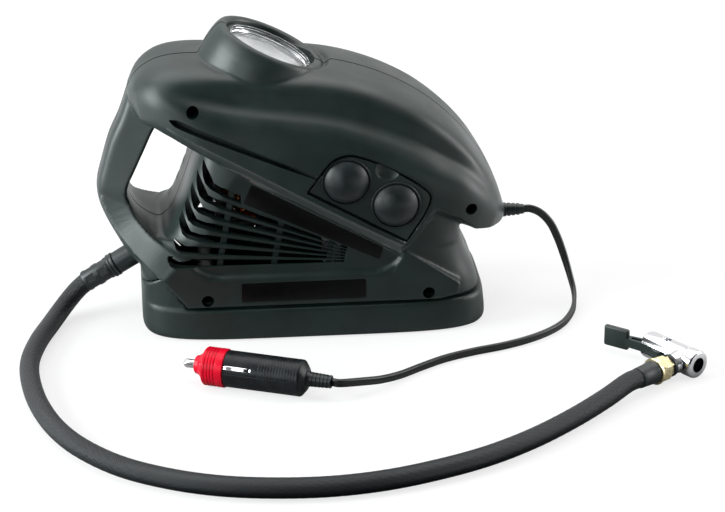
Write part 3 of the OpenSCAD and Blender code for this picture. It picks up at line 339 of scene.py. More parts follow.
def moved(bm, place):
    if place:
        bmesh.ops.transform(bm, matrix=place, verts=bm.verts)
    return bm


def bent_grid(across, around, place, uv=None):
    """A grid whose points are placed by place(i, j); its long sides are merged into a tube."""
    bm = bmesh.new()
    bmesh.ops.create_grid(bm, x_segments=across, y_segments=around, size=1)
    layer = bm.loops.layers.uv.new(uv[0]) if uv else None
    index = {v: (round((v.co.x + 1) / 2 * across), round((v.co.y + 1) / 2 * around)) for v in bm.verts}
    if layer:
        for face in bm.faces:
            for loop in face.loops:
                loop[layer].uv = uv[1](*index[loop.vert])
    for v, (i, j) in index.items():
        v.co = place(i, j)
    return close_up(bm)


def turned(profile, steps=64, place=None):
    """Turns a profile of (radius, height) points round Z."""
    bm = bmesh.new()
    corners = [bm.verts.new((r, 0, z)) for r, z in profile]
    edges = [bm.edges.new(pair) for pair in zip(corners, corners[1:])]
    whole = {"angle": math.tau, "steps": steps, "axis": (0, 0, 1), "cent": (0, 0, 0), "use_merge": True}
    bmesh.ops.spin(bm, geom=corners + edges, **whole)
    return moved(close_up(bm), place)


ROUND = {"offset_type": "OFFSET", "profile": 0.5, "material": -1}


def prism(outline, y0, y1, corners=None, place=None):
    """A slab from an outline in X and Z; corners maps an outline point's number to its rounding."""
    bm = bmesh.new()
    face = bm.faces.new([bm.verts.new((x, y0, z)) for x, z in outline])
    if corners:
        bm.verts.ensure_lookup_table()
        picked = {bm.verts[i]: size for i, size in corners.items()}
        for vert, size in picked.items():
            bmesh.ops.bevel(bm, geom=[vert], offset=size, segments=6, affect="VERTICES", **ROUND)
        face = bm.faces[:][0]
    made = bmesh.ops.extrude_face_region(bm, geom=[face])["geom"]
    bmesh.ops.translate(bm, vec=(0, y1 - y0, 0), verts=[g for g in made if isinstance(g, bmesh.types.BMVert)])
    bmesh.ops.recalc_face_normals(bm, faces=bm.faces)
    return moved(bm, place)


def block(size, centre, place=None):
    bm = bmesh.new()
    bmesh.ops.create_cube(bm, size=1)
    bmesh.ops.scale(bm, vec=size, verts=bm.verts)
    bmesh.ops.translate(bm, vec=centre, verts=bm.verts)
    return moved(bm, place)


def rod(radius, z0, z1, place=None, steps=48):
    return turned([(0, z0), (radius, z0), (radius, z1), (0, z1)], steps, place)


def round_edges(bm, width, angle=30.0, segments=2):
    """Rounds every edge whose faces meet at more than the angle."""
    limit = math.radians(angle)
    edges = [e for e in bm.edges if len(e.link_faces) == 2 and e.calc_face_angle(0) > limit]
    bmesh.ops.bevel(bm, geom=edges, offset=width, segments=segments, affect="EDGES", clamp_overlap=True, **ROUND)
    return bm


def joined(*parts):
    """One bmesh that holds several."""
    whole = parts[0]
    for part in parts[1:]:
        mesh = bpy.data.meshes.new("part")
        part.to_mesh(mesh)
        part.free()
        whole.from_mesh(mesh)
        bpy.data.meshes.remove(mesh)
    return whole


def scratch(bm):
    """A working object for the solid operations, in millimetres."""
    mesh = bpy.data.meshes.new("work")
    bm.to_mesh(mesh)
    bm.free()
    work = bpy.data.objects.new("work", mesh)
    bpy.context.scene.collection.objects.link(work)
    return work


def discard(work):
    mesh = work.data
    bpy.data.objects.remove(work)
    bpy.data.meshes.remove(mesh)


def applied(work, kind, **options):
    """Applies one modifier to a working object."""
    modifier = work.modifiers.new(kind, kind)
    for option, value in options.items():
        setattr(modifier, option, value)
    graph = bpy.context.evaluated_depsgraph_get()
    mesh = bpy.data.meshes.new_from_object(work.evaluated_get(graph))
    work.modifiers.clear()
    old = work.data
    work.data = mesh
    bpy.data.meshes.remove(old)
    return work


def combine(work, operation, *tools):
    """Adds, cuts or keeps what each tool covers; a tool is a bmesh and is used up."""
    for tool in tools:
        other = scratch(tool)
        applied(work, "BOOLEAN", operation=operation, object=other, solver="MANIFOLD")
        discard(other)
        if not work.data.polygons:
            raise RuntimeError(f"{operation} left nothing of a piece")
    return work


def soften(work, passes=None, grain=None):
    """Rebuilds a solid with even facets and rounds its edges as a mould does."""
    grain = grain or settings("housing").grain / MM
    applied(work, "REMESH", mode="VOXEL", voxel_size=grain, adaptivity=0)
    passes = settings("housing").softening if passes is None else passes
    if passes:
        applied(work, "SMOOTH", factor=0.5, iterations=passes)
    return work


def bmesh_of(work):
    bm = bmesh.new()
    bm.from_mesh(work.data)
    discard(work)
    return bm


def piece(name, form, material, body="housing", stands_for=None, sharp=32.0):
    """Turns a finished form into a named piece that rides on a body and stands for CAD nodes."""
    bm = form if isinstance(form, bmesh.types.BMesh) else bmesh_of(form)
    bmesh.ops.remove_doubles(bm, verts=bm.verts, dist=0.00001)
    bmesh.ops.scale(bm, vec=(MM, MM, MM), verts=bm.verts)
    mesh = bpy.data.meshes.new(name)
    bm.to_mesh(mesh)
    bm.free()
    mesh.polygons.foreach_set("use_smooth", [True] * len(mesh.polygons))
    mesh.set_sharp_from_angle(angle=math.radians(sharp))
    mesh.materials.append(skin(material))
    made = bpy.data.objects.new(name, mesh)
    bpy.context.scene.collection.objects.link(made)
    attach(made, body)
    stands_for = [name] if stands_for is None else stands_for
    if stands_for:
        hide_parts(*stands_for)
    return made


def keep(node, material):
    """Leaves a CAD node's own shape showing, with a real finish."""
    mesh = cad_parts[node].data
    mesh.materials.clear()
    mesh.materials.append(skin(material))


# ---- places --------------------------------------------------------------------------------
def along_y(x, y, z):
    return Matrix.Translation((x, y, z)) @ Matrix.Rotation(math.radians(-90), 4, "X")


def along_x(x, z):
    return Matrix.Translation((x, 0, z)) @ Matrix.Rotation(math.radians(90), 4, "Y")


def lay(point, heading):
    return (
        Matrix.Translation(point)
        @ Matrix.Rotation(math.radians(heading), 4, "Z")
        @ Matrix.Rotation(math.radians(90), 4, "Y")
    )


LAMP = Matrix.Translation((-23.5, 0, 155.5)) @ Matrix.Rotation(math.radians(24.4), 4, "Y")
HOSE_EXIT = Vector((-98, 0, 37.5))
HOSE_OUT = Vector((-math.cos(math.radians(31)), 0, -math.sin(math.radians(31))))
HOSE_PLACE = Matrix.Translation(HOSE_EXIT) @ Matrix.Rotation(math.radians(-121), 4, "Y")
CORD_EXIT = Vector((107, 0, 53))
GLAND = Matrix.Translation(CORD_EXIT - Vector((9, 0, 0))) @ Matrix.Rotation(math.radians(90), 4, "Y")


def level(heading):
    return Vector((math.cos(math.radians(heading)), math.sin(math.radians(heading)), 0))


PADS = [(x, y) for x in (-70, 72) for y in (-30, 30)]
BASE_SCREWS = [(11, y) for y in (-17, 17)]
MOTOR_Z = 70
CHUCK_HEADING = -54
NUT_HEADING = 36
CHUCK_REAR = Vector((175, -88, 7.7))
NUT_AXIS = level(NUT_HEADING)
NUT_MEETS = CHUCK_REAR + level(CHUCK_HEADING) * 26.5
FERRULE = NUT_MEETS - NUT_AXIS * 36
PIN_ALONG = 14
LEVER_AT = CHUCK_REAR + level(CHUCK_HEADING) * PIN_ALONG
PLUG_HEADING = -22
PLUG_DIR = level(PLUG_HEADING)
PLUG_AT = Vector((-77.5, -94, 10.5))
HOSE_Z = 5.5
CORD_Z = 2.5


def on_plug(t):
    return PLUG_AT + PLUG_DIR * t


def plug_place(t):
    return lay(on_plug(t), PLUG_HEADING)


def nut_place(t):
    return lay(FERRULE + NUT_AXIS * t, NUT_HEADING)


# ---- stage ---------------------------------------------------------------------------------
CAMERA_AT = (-0.1038, -1.3614, 0.6222)
CAMERA_LOOKS = (0.0879, 0.9128, -0.3987)


class INFLATOR_OT_stage(bpy.types.Operator):
    """Sets the camera, the pale floor and the soft studio light"""

    bl_idname = "inflator.stage"
    bl_label = "Stage"

    def execute(self, context):
        stage = settings("stage")
        scene = context.scene
        camera = bpy.data.cameras.new("camera")
        camera.lens = stage.lens / MM
        camera.sensor_width = 36
        camera.sensor_fit = "HORIZONTAL"
        camera.clip_end = 50
        eye = bpy.data.objects.new("camera", camera)
        eye.location = CAMERA_AT
        eye.rotation_euler = Vector(CAMERA_LOOKS).to_track_quat("-Z", "Y").to_euler()
        scene.collection.objects.link(eye)
        scene.camera = eye
        scene.view_settings.view_transform = "Standard"

        ground = bmesh.new()
        bmesh.ops.create_grid(ground, x_segments=4, y_segments=4, size=4)
        mesh = bpy.data.meshes.new("floor")
        ground.to_mesh(mesh)
        ground.free()
        floor = bpy.data.objects.new("floor", mesh)
        scene.collection.objects.link(floor)
        mesh.materials.append(self.floor_paint(tuple(stage.floor)))

        for name, where, size, watts in (
            ("top_softbox", (0.0, 0.45, 1.5), (2.4, 1.7), stage.top),
            ("left_softbox", (-1.6, -0.25, 0.6), (1.0, 1.2), stage.left),
            ("right_softbox", (1.6, -0.05, 0.5), (0.9, 0.9), stage.right),
            ("front_left_softbox", (-0.98, -1.4, 0.6), (0.6, 0.7), stage.front),
        ):
            light = bpy.data.lights.new(name, "AREA")
            light.shape = "RECTANGLE"
            light.size, light.size_y = size
            light.energy = watts
            light.color = (0.93, 0.99, 1) if "left" in name else (1, 1, 1)
            lamp = bpy.data.objects.new(name, light)
            lamp.location = where
            lamp.rotation_euler = (Vector((0, 0, 0.05)) - Vector(where)).to_track_quat("-Z", "Y").to_euler()
            scene.collection.objects.link(lamp)
        self.sky(scene)
        return {"FINISHED"}

    @staticmethod
    def floor_paint(base):
        """White-painted studio floor: seen straight it is white, and still takes the shadow."""
        material = bpy.data.materials.new("studio_floor_paint")
        material.use_nodes = True
        tree = material.node_tree
        tree.nodes.clear()
        seen = add_node(tree, "ShaderNodeLightPath").outputs["Is Camera Ray"]
        # painted shade: under and in front of the object the floor's colour is painted dark for bounced light only, so
        # it throws less light back onto the base and lower flanks; seen straight the floor stays white
        where = add_node(tree, "ShaderNodeTexCoord").outputs["Object"]
        split = add_node(tree, "ShaderNodeSeparateXYZ", {0: where})
        aside = add_node(tree, "ShaderNodeMath", {0: split.outputs["X"], 1: 0.04}, operation="SUBTRACT").outputs[0]
        aside = add_node(tree, "ShaderNodeMath", {0: aside}, operation="ABSOLUTE").outputs[0]
        shares = []
        for distance, start, end in ((aside, 0.12, 0.24), (split.outputs["Y"], -0.2, 0.05)):
            reach = {"Value": distance, "From Min": start, "From Max": end}
            shares.append(add_node(tree, "ShaderNodeMapRange", reach).outputs[0])
        share = add_node(tree, "ShaderNodeMath", {0: shares[0], 1: shares[1]}, operation="MAXIMUM").outputs[0]
        # painted shade in the floor's colour: for all but camera rays it falls to 0.06 in front of the object
        reach = {"Value": share, "To Min": 0.06, "To Max": base[0]}
        painted_bounce_shade = add_node(tree, "ShaderNodeMapRange", reach).outputs[0]
        shade = add_node(tree, "ShaderNodeMath", {0: painted_bounce_shade, 1: seen}, operation="MAXIMUM").outputs[0]
        paint = add_node(tree, "ShaderNodeBsdfDiffuse", {"Color": shade, "Roughness": 0.5}).outputs[0]
        white = add_node(tree, "ShaderNodeEmission", {"Color": (1, 1, 1, 1), "Strength": 1.0}).outputs[0]
        share = add_node(tree, "ShaderNodeMath", {0: seen, 1: 0.72}, operation="MULTIPLY").outputs[0]
        mixed = add_node(tree, "ShaderNodeMixShader", {0: share, 1: paint, 2: white}).outputs[0]
        add_node(tree, "ShaderNodeOutputMaterial", {"Surface": mixed})
        return material

    @staticmethod
    def sky(scene):
        """A white backdrop all round for the eye, metal and glass, over a plain level of light."""
        world = bpy.data.worlds.new("studio")
        scene.world = world
        world.use_nodes = True
        tree = world.node_tree
        tree.nodes.clear()
        rays = add_node(tree, "ShaderNodeLightPath").outputs
        ends = {0: rays["Is Camera Ray"], 1: rays["Is Transmission Ray"]}
        seen = add_node(tree, "ShaderNodeMath", ends, operation="MAXIMUM").outputs[0]
        # the side behind the camera is the dark end of the studio, for reflections
        where = add_node(tree, "ShaderNodeTexCoord").outputs["Generated"]
        split = add_node(tree, "ShaderNodeSeparateXYZ", {0: where})
        reach = {"Value": split.outputs["Y"], "From Min": -0.75, "From Max": 0.3, "To Min": 0.02, "To Max": 0.95}
        back = add_node(tree, "ShaderNodeMapRange", reach).outputs[0]
        strength = seen
        for ray, amount in (("Is Glossy Ray", back), ("Is Diffuse Ray", 0.2)):
            part = add_node(tree, "ShaderNodeMath", {0: rays[ray], 1: amount}, operation="MULTIPLY").outputs[0]
            strength = add_node(tree, "ShaderNodeMath", {0: strength, 1: part}, operation="MAXIMUM").outputs[0]
        light = add_node(tree, "ShaderNodeBackground", {"Color": (1, 1, 1, 1), "Strength": strength}).outputs[0]
        add_node(tree, "ShaderNodeOutputWorld", {"Surface": light})


# ---- hose and cord -------------------------------------------------------------------------
def carried(points, up, upright=False):
    """A cross direction carried along a route without twist, or kept upright, at every point."""
    out = []
    u = Vector(up)
    for i, p in enumerate(points):
        t = (Vector(points[min(i + 1, len(points) - 1)]) - Vector(points[max(i - 1, 0)])).normalized()
        u = Vector(up) if upright else u
        u = (u - t * u.dot(t)).normalized()
        out.append((Vector(p), t, u.copy(), u.cross(t)))
    return out


def evenly(points, step):
    """Points a steady step apart along a fine route."""
    fine = [Vector(p) for p in smooth_points([tuple(p) for p in points], 24)]
    run = [0.0]
    for a, b in zip(fine, fine[1:]):
        run.append(run[-1] + (b - a).length)
    count = max(2, round(run[-1] / step))
    out = []
    j = 0
    for i in range(count + 1):
        goal = run[-1] * i / count
        while j < len(run) - 2 and run[j + 1] < goal:
            j += 1
        k = (goal - run[j]) / max(1e-9, run[j + 1] - run[j])
        out.append(fine[j].lerp(fine[j + 1], min(1.0, k)))
    return out, run[-1]


def tube(points, sides, shape, up, uv=None, upright=False):
    """A tube round a route; shape(i, angle) gives the offset across and up at a ring."""
    line = carried(points, up, upright)

    def place(i, j):
        p, _, u, s = line[i]
        across, rise = shape(i, math.tau * j / sides)
        return p + s * across + u * rise

    return bent_grid(len(points) - 1, sides, place, uv)


HOSE_DROP = [(-134, -1, 14.5), (-140, -6, 9.5), (-145, -15, 6.5)]
HOSE_FLAT = [(-149, -26), (-156, -50), (-160, -75), (-159, -100), (-154, -128), (-145, -155), (-132, -178),
             (-113, -199), (-90, -214), (-65, -224), (-38, -229), (-10, -230), (18, -226), (46, -217), (72, -205),
             (97, -188.5), (120.5, -168.5)]
HOSE_ROUTE = [HOSE_EXIT + HOSE_OUT * d for d in (5, 16, 27, 34)]
HOSE_ROUTE += [Vector(p) for p in HOSE_DROP] + [Vector((x, y, HOSE_Z)) for x, y in HOSE_FLAT]
HOSE_ROUTE += [Vector((140.5, -149.5, 6.2)), FERRULE - NUT_AXIS * 8, FERRULE + NUT_AXIS * 2]

CORD_DROP = [(123, 0, 53), (129, 0, 50), (134.5, -0.5, 44), (138.5, -1, 36), (141.5, -2, 28), (144, -4, 20),
             (146, -8, 12.5), (147, -14, 7), (146, -22, 3.6)]
CORD_FLAT = [(143, -32), (136, -46), (126, -57), (113, -66), (98, -73), (80, -79), (64, -86), (50, -95)]
CORD_RISE = [(38, -104, 2.8), (27, -112, 4.4), (17, -119.5, 7.4)]
RELIEF_END = 24.5 + 45 + 13
CORD_ROUTE = [CORD_EXIT + Vector((12.1, 0, 0))] + [Vector(p) for p in CORD_DROP]
CORD_ROUTE += [Vector((x, y, CORD_Z)) for x, y in CORD_FLAT] + [Vector(p) for p in CORD_RISE]
CORD_ROUTE += [on_plug(RELIEF_END + 5), on_plug(RELIEF_END)]


def in_metres(points):
    return [tuple(c * MM for c in p) for p in points]


class INFLATOR_OT_hose(bpy.types.Operator):
    """Builds the braided air hose with its sleeve, band and end ferrule"""

    bl_idname = "inflator.hose"
    bl_label = "Air hose"

    def execute(self, context):
        hose = settings("hose")
        radius = hose.diameter / MM / 2
        pitch = hose.weave / MM
        strands = 12
        line, run = evenly(HOSE_ROUTE, 0.9)
        relief = 0.12  # how far a strand stands out where it goes over

        def braid(i, angle):
            # two sets of strands cross on the slant, and each goes over and under in turn
            along = run * i / (len(line) - 1)
            turn = strands * angle
            a = math.cos(turn + math.tau * along / (2 * pitch))
            b = math.cos(turn - math.tau * along / (2 * pitch))
            r = radius - relief + relief * max(a, b)
            return r * math.cos(angle), r * math.sin(angle)

        sides = 60

        def strand_map(i, j):
            return run * i / (len(line) - 1) / pitch, math.tau * radius * j / sides / pitch

        form = tube(line, sides, braid, (0, 0, 1), ("braid", strand_map))
        hose_piece = piece("air_hose", form, "braided_polyester_black", sharp=180)

        # sleeve: a smooth root, a ring, then a flexible part with ridged windows
        sleeve = turned(
            [(5.1, -6), (6.5, -6), (6.5, 12), (6.45, 15.8), (6.1, 16.2), (6.1, 20.2), (6.3, 20.6), (6.25, 28),
             (6.1, 35.6), (5.9, 36.8), (5.5, 37.2), (5.4, 30), (5.4, 4.5), (5.1, 4.5), (5.1, -6)],
            72,
        )
        work = scratch(sleeve)
        for z in (24.6, 32.4):
            for k in range(4):
                turn = Matrix.Rotation(math.radians(90 * k + 20), 4, "Z")
                window = joined(*[block((2, 4.2, 0.66), (6.6, 0, z + 0.92 * step), turn) for step in range(-2, 3)])
                combine(work, "DIFFERENCE", block((1.1, 4.6, 5.0), (6.3, 0, z), turn), window)
        sleeve = moved(bmesh_of(work), HOSE_PLACE)
        sleeve_piece = piece("hose_sleeve", sleeve, "moulded_rubber_black")

        band = turned(
            [(6.15, 16.3), (6.7, 16.3), (6.95, 16.6), (6.95, 17.6), (6.7, 17.85), (6.7, 18.4), (6.95, 18.65),
             (6.95, 19.6), (6.7, 19.9), (6.15, 19.9), (6.15, 16.3)],
            72,
            HOSE_PLACE,
        )
        band_piece = piece("hose_band", round_edges(band, 0.12), "moulded_rubber_black")

        ferrule = turned(
            [(5.4, 0), (5.5, 0), (5.6, 0.3), (5.7, 3), (5.85, 6), (6.0, 8.4), (6.25, 10.2), (6.4, 11),
             (6.4, 11.5), (6.1, 11.95), (0, 11.95), (0, 2.3), (5.4, 2.3), (5.4, 0)],
            64,
            nut_place(0),
        )
        ferrule_piece = piece("hose_ferrule", ferrule, "moulded_rubber_black")
        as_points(in_metres(line[::4] + [line[-1]]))
        return {"FINISHED"}


class INFLATOR_OT_cord(bpy.types.Operator):
    """Builds the flat two-core power cord and its gland"""

    bl_idname = "inflator.cord"
    bl_label = "Power cord"

    def execute(self, context):
        hose = settings("hose")
        wide = hose.cord_width / MM
        high = hose.cord_height / MM
        core = high / 2
        line, run = evenly(CORD_ROUTE, 1.6)
        sides = 28

        def two_cores(i, angle):
            # two round cores side by side, joined by a thin web
            rise = (wide / 2 - core) * (1 if math.sin(angle) >= 0 else -1)
            c, s = math.cos(angle), math.sin(angle)
            waist = 1 - 0.42 * math.exp(-((s / 0.2) ** 2))
            return core * c * waist, rise * min(1, abs(s) * 3) + core * s

        form = tube(line, sides, two_cores, (0, 0, 1), ("run", lambda i, j: (run * i / (len(line) - 1), j / sides)),
                    True)
        cord_piece = piece("power_cord", form, "flexible_pvc_black", sharp=60)

        # gland: a collar held in the nose and a tapered outside with grip rings
        profile = [(0, 0), (4, 0), (4, 2), (5.6, 2), (5.6, 4), (4, 4), (4, 8.9)]
        for k in range(4):
            r = 4 - 0.22 * k
            z = 9.2 + 2.6 * k
            profile += [(r + 0.05, z), (r, z + 1.5), (r - 0.45, z + 1.7), (r - 0.45, z + 2.5)]
        profile += [(2.9, 19.8), (2.75, 21), (0, 21)]
        gland = turned(profile, 48, GLAND)
        gland_piece = piece("cord_gland", gland, "moulded_rubber_black")
        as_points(in_metres(line[::3] + [line[-1]]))
        return {"FINISHED"}


# ---- housing -------------------------------------------------------------------------------
# A station of the upper housing: top point and bottom point (X and Z), half width, crease, height
# of its shoulders, then height and depth of the bevel along its lower edge.
HOOD = [
    (-102.5, 134.5, -98, 122, 15, 0, 12.5, 3, 2),
    (-98, 142.3, -95, 121, 27, 0, 21, 4.5, 3),
    (-91.5, 147.8, -88, 120.8, 36, 0.1, 28, 6, 4),
    (-82, 151.5, -79, 116.8, 42, 0.3, 35, 7.2, 4.5),
    (-68, 152.7, -66, 109.6, 46, 0.7, 43.5, 7.5, 4.5),
    (-46, 151.5, -44, 97.4, 48, 1, 50, 7.5, 4.5),
    (-18, 149.5, -16, 81.9, 50, 1, 54, 7.5, 4.5),
    (8, 147, 6, 69, 50, 1, 58, 7.5, 4.5),
    (32, 140.2, 26, 57.8, 50, 1, 60, 7.5, 4.5),
    (54.6, 129, 44, 47.6, 49.5, 1, 55.5, 7.5, 4.5),
    (72, 115.6, 62.2, 68.5, 47.5, 1, 46, 7, 4.5),
    (85.3, 101.4, 75, 61.5, 44.5, 0.9, 33, 7, 9),
    (95, 87, 84.3, 52, 39, 0.6, 27, 7, 20),
    (102, 73, 93, 47, 30.5, 0.3, 21, 9.2, 24),
    (106, 61, 100, 47.6, 19, 0.2, 14, 6.5, 15),
    (107.4, 56, 105, 49.4, 9, 0, 6.5, 3, 6),
]
DRAWN_CHAMFER = 7.5
# Section of the upper housing, plain and creased: shares of the half width and of the shoulder height.
PLAIN = [(0, 0), (0.3, 0.01), (0.5, 0.03), (0.66, 0.07), (0.76, 0.115), (0.83, 0.165), (0.885, 0.22),
         (0.925, 0.285), (0.955, 0.36), (0.98, 0.46), (0.99, 0.56), (1, 0.7)]
CREASED = [(0, 0), (0.36, 0.012), (0.56, 0.035), (0.665, 0.075), (0.725, 0.145), (0.755, 0.23), (0.78, 0.31),
           (0.825, 0.365), (0.89, 0.42), (0.95, 0.505), (0.985, 0.61), (1, 0.76)]
# The upper housing's lower edge in side view: where it starts at the rear and how it falls.
EDGE_START = (-79, 116.8)
EDGE_SLOPE = 0.5607
# A station of the carrying handle: outer point, inner point, half width.
GRIP = [
    (-102.5, 134.5, -80, 124, 18),
    (-107.5, 120, -88, 115.5, 18),
    (-113.4, 107, -94, 103, 18),
    (-118, 92, -100, 90, 18),
    (-121, 80, -104, 81, 18),
    (-120.5, 71, -104, 74, 18),
    (-117.5, 62, -100, 66, 20),
    (-112, 51, -93.5, 60, 24),
    (-105, 40, -87, 56.5, 32),
    (-94, 30, -82, 50, 40),
]
GRIP_SECTION = [(0, 0), (0.27, 0.012), (0.47, 0.05), (0.6, 0.12), (0.68, 0.23)]
# Levels of the lower housing: height, rear end, front end, half width.
TUB_LOW = [
    (17, -97.2, 91.6, 45.8),
    (28, -98.2, 88.6, 46),
    (38, -98.6, 84, 46),
    (48, -97.5, 80.8, 46),
    (54, -95, 79.8, 45.9),
    (57.5, -91, 79.3, 45.2),
]
TUB_HIGH = [
    (50, -90, 80.3, 45.6),
    (57, -86.5, 79.3, 45.6),
    (62, -81, 79, 45.6),
    (70, -77, 79, 45.6),
    (83, -72, 76, 45.4),
    (95, -68, 62, 44.5),
    (112, -62, 18, 42),
    (122, -59, -12, 38),
]
WINDOW = [(-75, 57.5), (-70, 44), (-60, 37.5), (33, 37.5), (41.5, 41.5), (45, 46.8), (-64, 108.4), (-66, 96)]
WALL_Y = 43.6
WALL = 3.0
# Radii of the screw posts, of the wells that hide the screws' heads and of the hole for the hose.
POST = 5
SCREW_WELL = 3.4
HOSE_HOLE = 6.6
POSTS = [(-68, 133.2), (83.3, 71.5), (-62.4, 24), (59.9, 24)]
# The base's upper edge at its rear end: from the level front part up to a peak, and down to the rear.
BASE_EDGE = [(-73.4, 18), (-87, 35.6), (-101, 26.5)]
# The housing's lower edge follows it about a millimetre higher.
HOUSING_EDGE = [(200, 19.8), (-73.6, 19.8), (-87.2, 36.6), (-101, 27.1), (-200, 27.1)]
# Flat plate on each flank, and the band that carries it on into the handle: outer edge, inner edge, depth.
PLATE = [(-87, 36), (-73.6, 19.8), (66, 19.8), (76.5, 22.5), (77.5, 29), (60, 41.3), (46.3, 49.7), (40, 36),
         (-60, 36), (-68, 42), (-75, 49)]
PLATE_Y = 46.3
BAND = [
    (-119.5, 74, 12, -104.3, 75.5, 15.5),
    (-112.5, 59, 20.5, -100.5, 66.5, 23),
    (-103.5, 49.5, 31, -93.5, 60, 32.5),
    (-95, 42.6, 40, -84.5, 54.6, 41),
    (-87, 36, 46.3, -75, 49, 46.3),
]
# Two ends of the finger groove's middle line.
GROOVE = ((-80.6, 129), (-1, 95.6))
POCKET_ARC = [(2, 101), (7, 106), (15, 108.2), (23, 106.6), (35, 101.6), (48, 94), (57, 87.5), (60.5, 82.5),
              (59.8, 77), (56.5, 70)]
POCKET = [(-8, 87.2)] + smooth_points(POCKET_ARC, 4) + [(47.2, 55.6)]
BUTTONS = [(14, 92.5), (41, 78)]
POCKET_Y = -47.3
PANEL_Y = -48.4
PANEL_BACK = -45.4


def hood_form(inset=0.0, spans=(0, 15), fine=6):
    """The upper housing, whole or moved in by a wall's thickness."""
    first, last = spans
    steps = (last - first) * fine
    bevel = settings("housing").chamfer / MM / DRAWN_CHAMFER

    def section(at):
        tx, tz, _, _, half, crease, shoulder, _, _ = curve_through(HOOD, at)
        _, _, bx, bz, _, _, _, up, deep = line_through(HOOD, at)
        top, bottom = Vector((tx, tz)), Vector((bx, bz))
        axis = (bottom - top).normalized()
        top, bottom = top + axis * inset, bottom - axis * inset
        height = (bottom - top).length
        half = max(1.0, half - inset)
        up, deep = up * bevel, min(deep, half - 1.6)
        side = []
        for k in range(34):
            plain, creased = curve_through(PLAIN, k / 3), curve_through(CREASED, k / 3)
            w, h = (a + (b - a) * crease for a, b in zip(plain, creased))
            side.append((half * w, min(shoulder * h, height - up - 0.5)))
        side += [(half, height - up), (half - deep, height - 0.2), (half - deep - 1.2, height), (0, height)]
        return top, axis, side

    return swept(section, first, steps, fine)


def swept(section, first, steps, fine):
    """A closed form through sections; each is an origin, its inward axis and one half's outline."""
    sections = [section(first + i / fine) for i in range(steps + 1)]
    count = len(sections[0][2])

    def place(i, j):
        origin, axis, side = sections[i]
        w, h = side[j if j < count else 2 * (count - 1) - j]
        q = origin + axis * h
        return Vector((q.x, -w if j < count else w, q.y))

    return bent_grid(steps, 2 * (count - 1), place)


def grip_form(fine=5):
    def section(at):
        ox, oz, ix, iz, half = curve_through(GRIP, at)
        outer, inner = Vector((ox, oz)), Vector((ix, iz))
        axis = (inner - outer).normalized()
        depth = (inner - outer).length
        curve = [curve_through(GRIP_SECTION, k / 4) for k in range(17)]
        side = [(half * a, depth * b) for a, b in curve]
        # the flat flank leans outward from the rounded outer band to the inner edge
        side += [(half - 0.2, depth - 1.4), (half - 0.7, depth - 0.4), (half - 2.0, depth), (0, depth)]
        return outer, axis, side

    return swept(section, 0, (len(GRIP) - 1) * fine, fine)


def plan_form(levels, square, inset=0.0, fine=4, smooth=True, around=96):
    """A form of rounded oblong plans, one above the other."""
    steps = (len(levels) - 1) * fine
    path = curve_through if smooth else line_through

    def place(i, j):
        z, x0, x1, half = path(levels, i / fine)
        angle = math.tau * j / around
        c, s = math.cos(angle), math.sin(angle)
        x = (x0 + x1) / 2 + ((x1 - x0) / 2 - inset) * math.copysign(abs(c) ** (2 / square), c)
        y = (half - inset) * math.copysign(abs(s) ** (2 / square), s)
        return Vector((x, y, z))

    return bent_grid(steps, around, place)


def lamp_collar():
    """The collar with its crowned bezel."""
    return turned(
        [(0, -28), (35.5, -28), (35.2, -22), (34.8, -16), (34.2, -10), (33.3, -5), (32.4, -2), (31.6, 0),
         (30.9, 1.3), (29.8, 2.2), (28.6, 2.4), (27.2, 2.0), (26.3, 1.2), (25.9, 0), (25.9, -2), (0, -2)],
        96,
        LAMP,
    )


def slot_outline(k, wider=0.0):
    """A cooling slot: it fans out from an apex and turns up round the rear corner."""
    apex, reach = Vector((35, 43.5)), 22
    open_half = math.radians(1.15 + 0.5 * wider)
    middle = math.radians(26.5 - 4.2 * k)
    high, low = math.tan(middle + open_half), math.tan(middle - open_half)
    lean = (-60 + 80) / (92 - 48)
    knee = (-80 + lean * (apex.y + apex.x * math.tan(middle) - 48)) / (1 + lean * math.tan(middle)) - 0.5 * wider
    right = (-43 if k == 0 else apex.x - reach * math.cos(middle)) + 0.4 * wider
    tail = (10 if k < 5 else 2) + 0.6 * wider

    def on(slope, x):
        return (x, apex.y + (apex.x - x) * slope)

    top = on(high, knee)[1]
    return [
        on(high, right),
        on(high, knee + 3.0 + wider),
        (knee + 1.6 + wider, top + tail * 0.2),
        (knee - 0.4 + 0.8 * wider, top + tail * 0.62),
        (knee - 2.2, top + tail),
        (knee - 3.0 - 0.3 * wider, top + tail * 0.5),
        (knee - 2.8 - 0.3 * wider, top + tail * 0.08),
        on(low + (high - low) * 0.3, knee - 1.8),
        on(low, knee + 1),
        on(low, right),
    ]


def splayed(inner, outer, y0, y1):
    """A cutter that widens from one outline to another of as many points."""
    bm = prism(inner, y0, y1)
    goal = {(round(a[0], 3), round(a[1], 3)): b for a, b in zip(inner, outer)}
    for vert in bm.verts:
        if abs(vert.co.y - y1) < 0.001:
            vert.co.x, vert.co.z = goal[(round(vert.co.x, 3), round(vert.co.z, 3))]
    return bm


def groove_form(wide, deep):
    """A form along the finger groove; its floor follows the flank, which spreads towards the nose."""
    (x0, z0), (x1, z1) = GROOVE
    run = Vector((x1 - x0, z1 - z0))
    side = Vector((-run.y, run.x)).normalized()

    def place(i, j):
        share = i / 24
        reach = wide * (1 - 0.55 * share) * math.sqrt(max(0.02, 1 - max(0.0, 1 - share * 14) ** 2))
        sign, out = ((1, 0), (-1, 0), (-1, 1), (1, 1))[j % 4]
        x, z = Vector((x0, z0)) + run * share + side * sign * reach
        flank = curve_through([(38.8,), (45.2,), (47.6,), (48.9,), (49.8,)], share * 4)[0]
        return Vector((x, -(60 if out else flank - deep * min(1, 4 * (1 - share) + 0.25)), z))

    return bent_grid(24, 4, place)


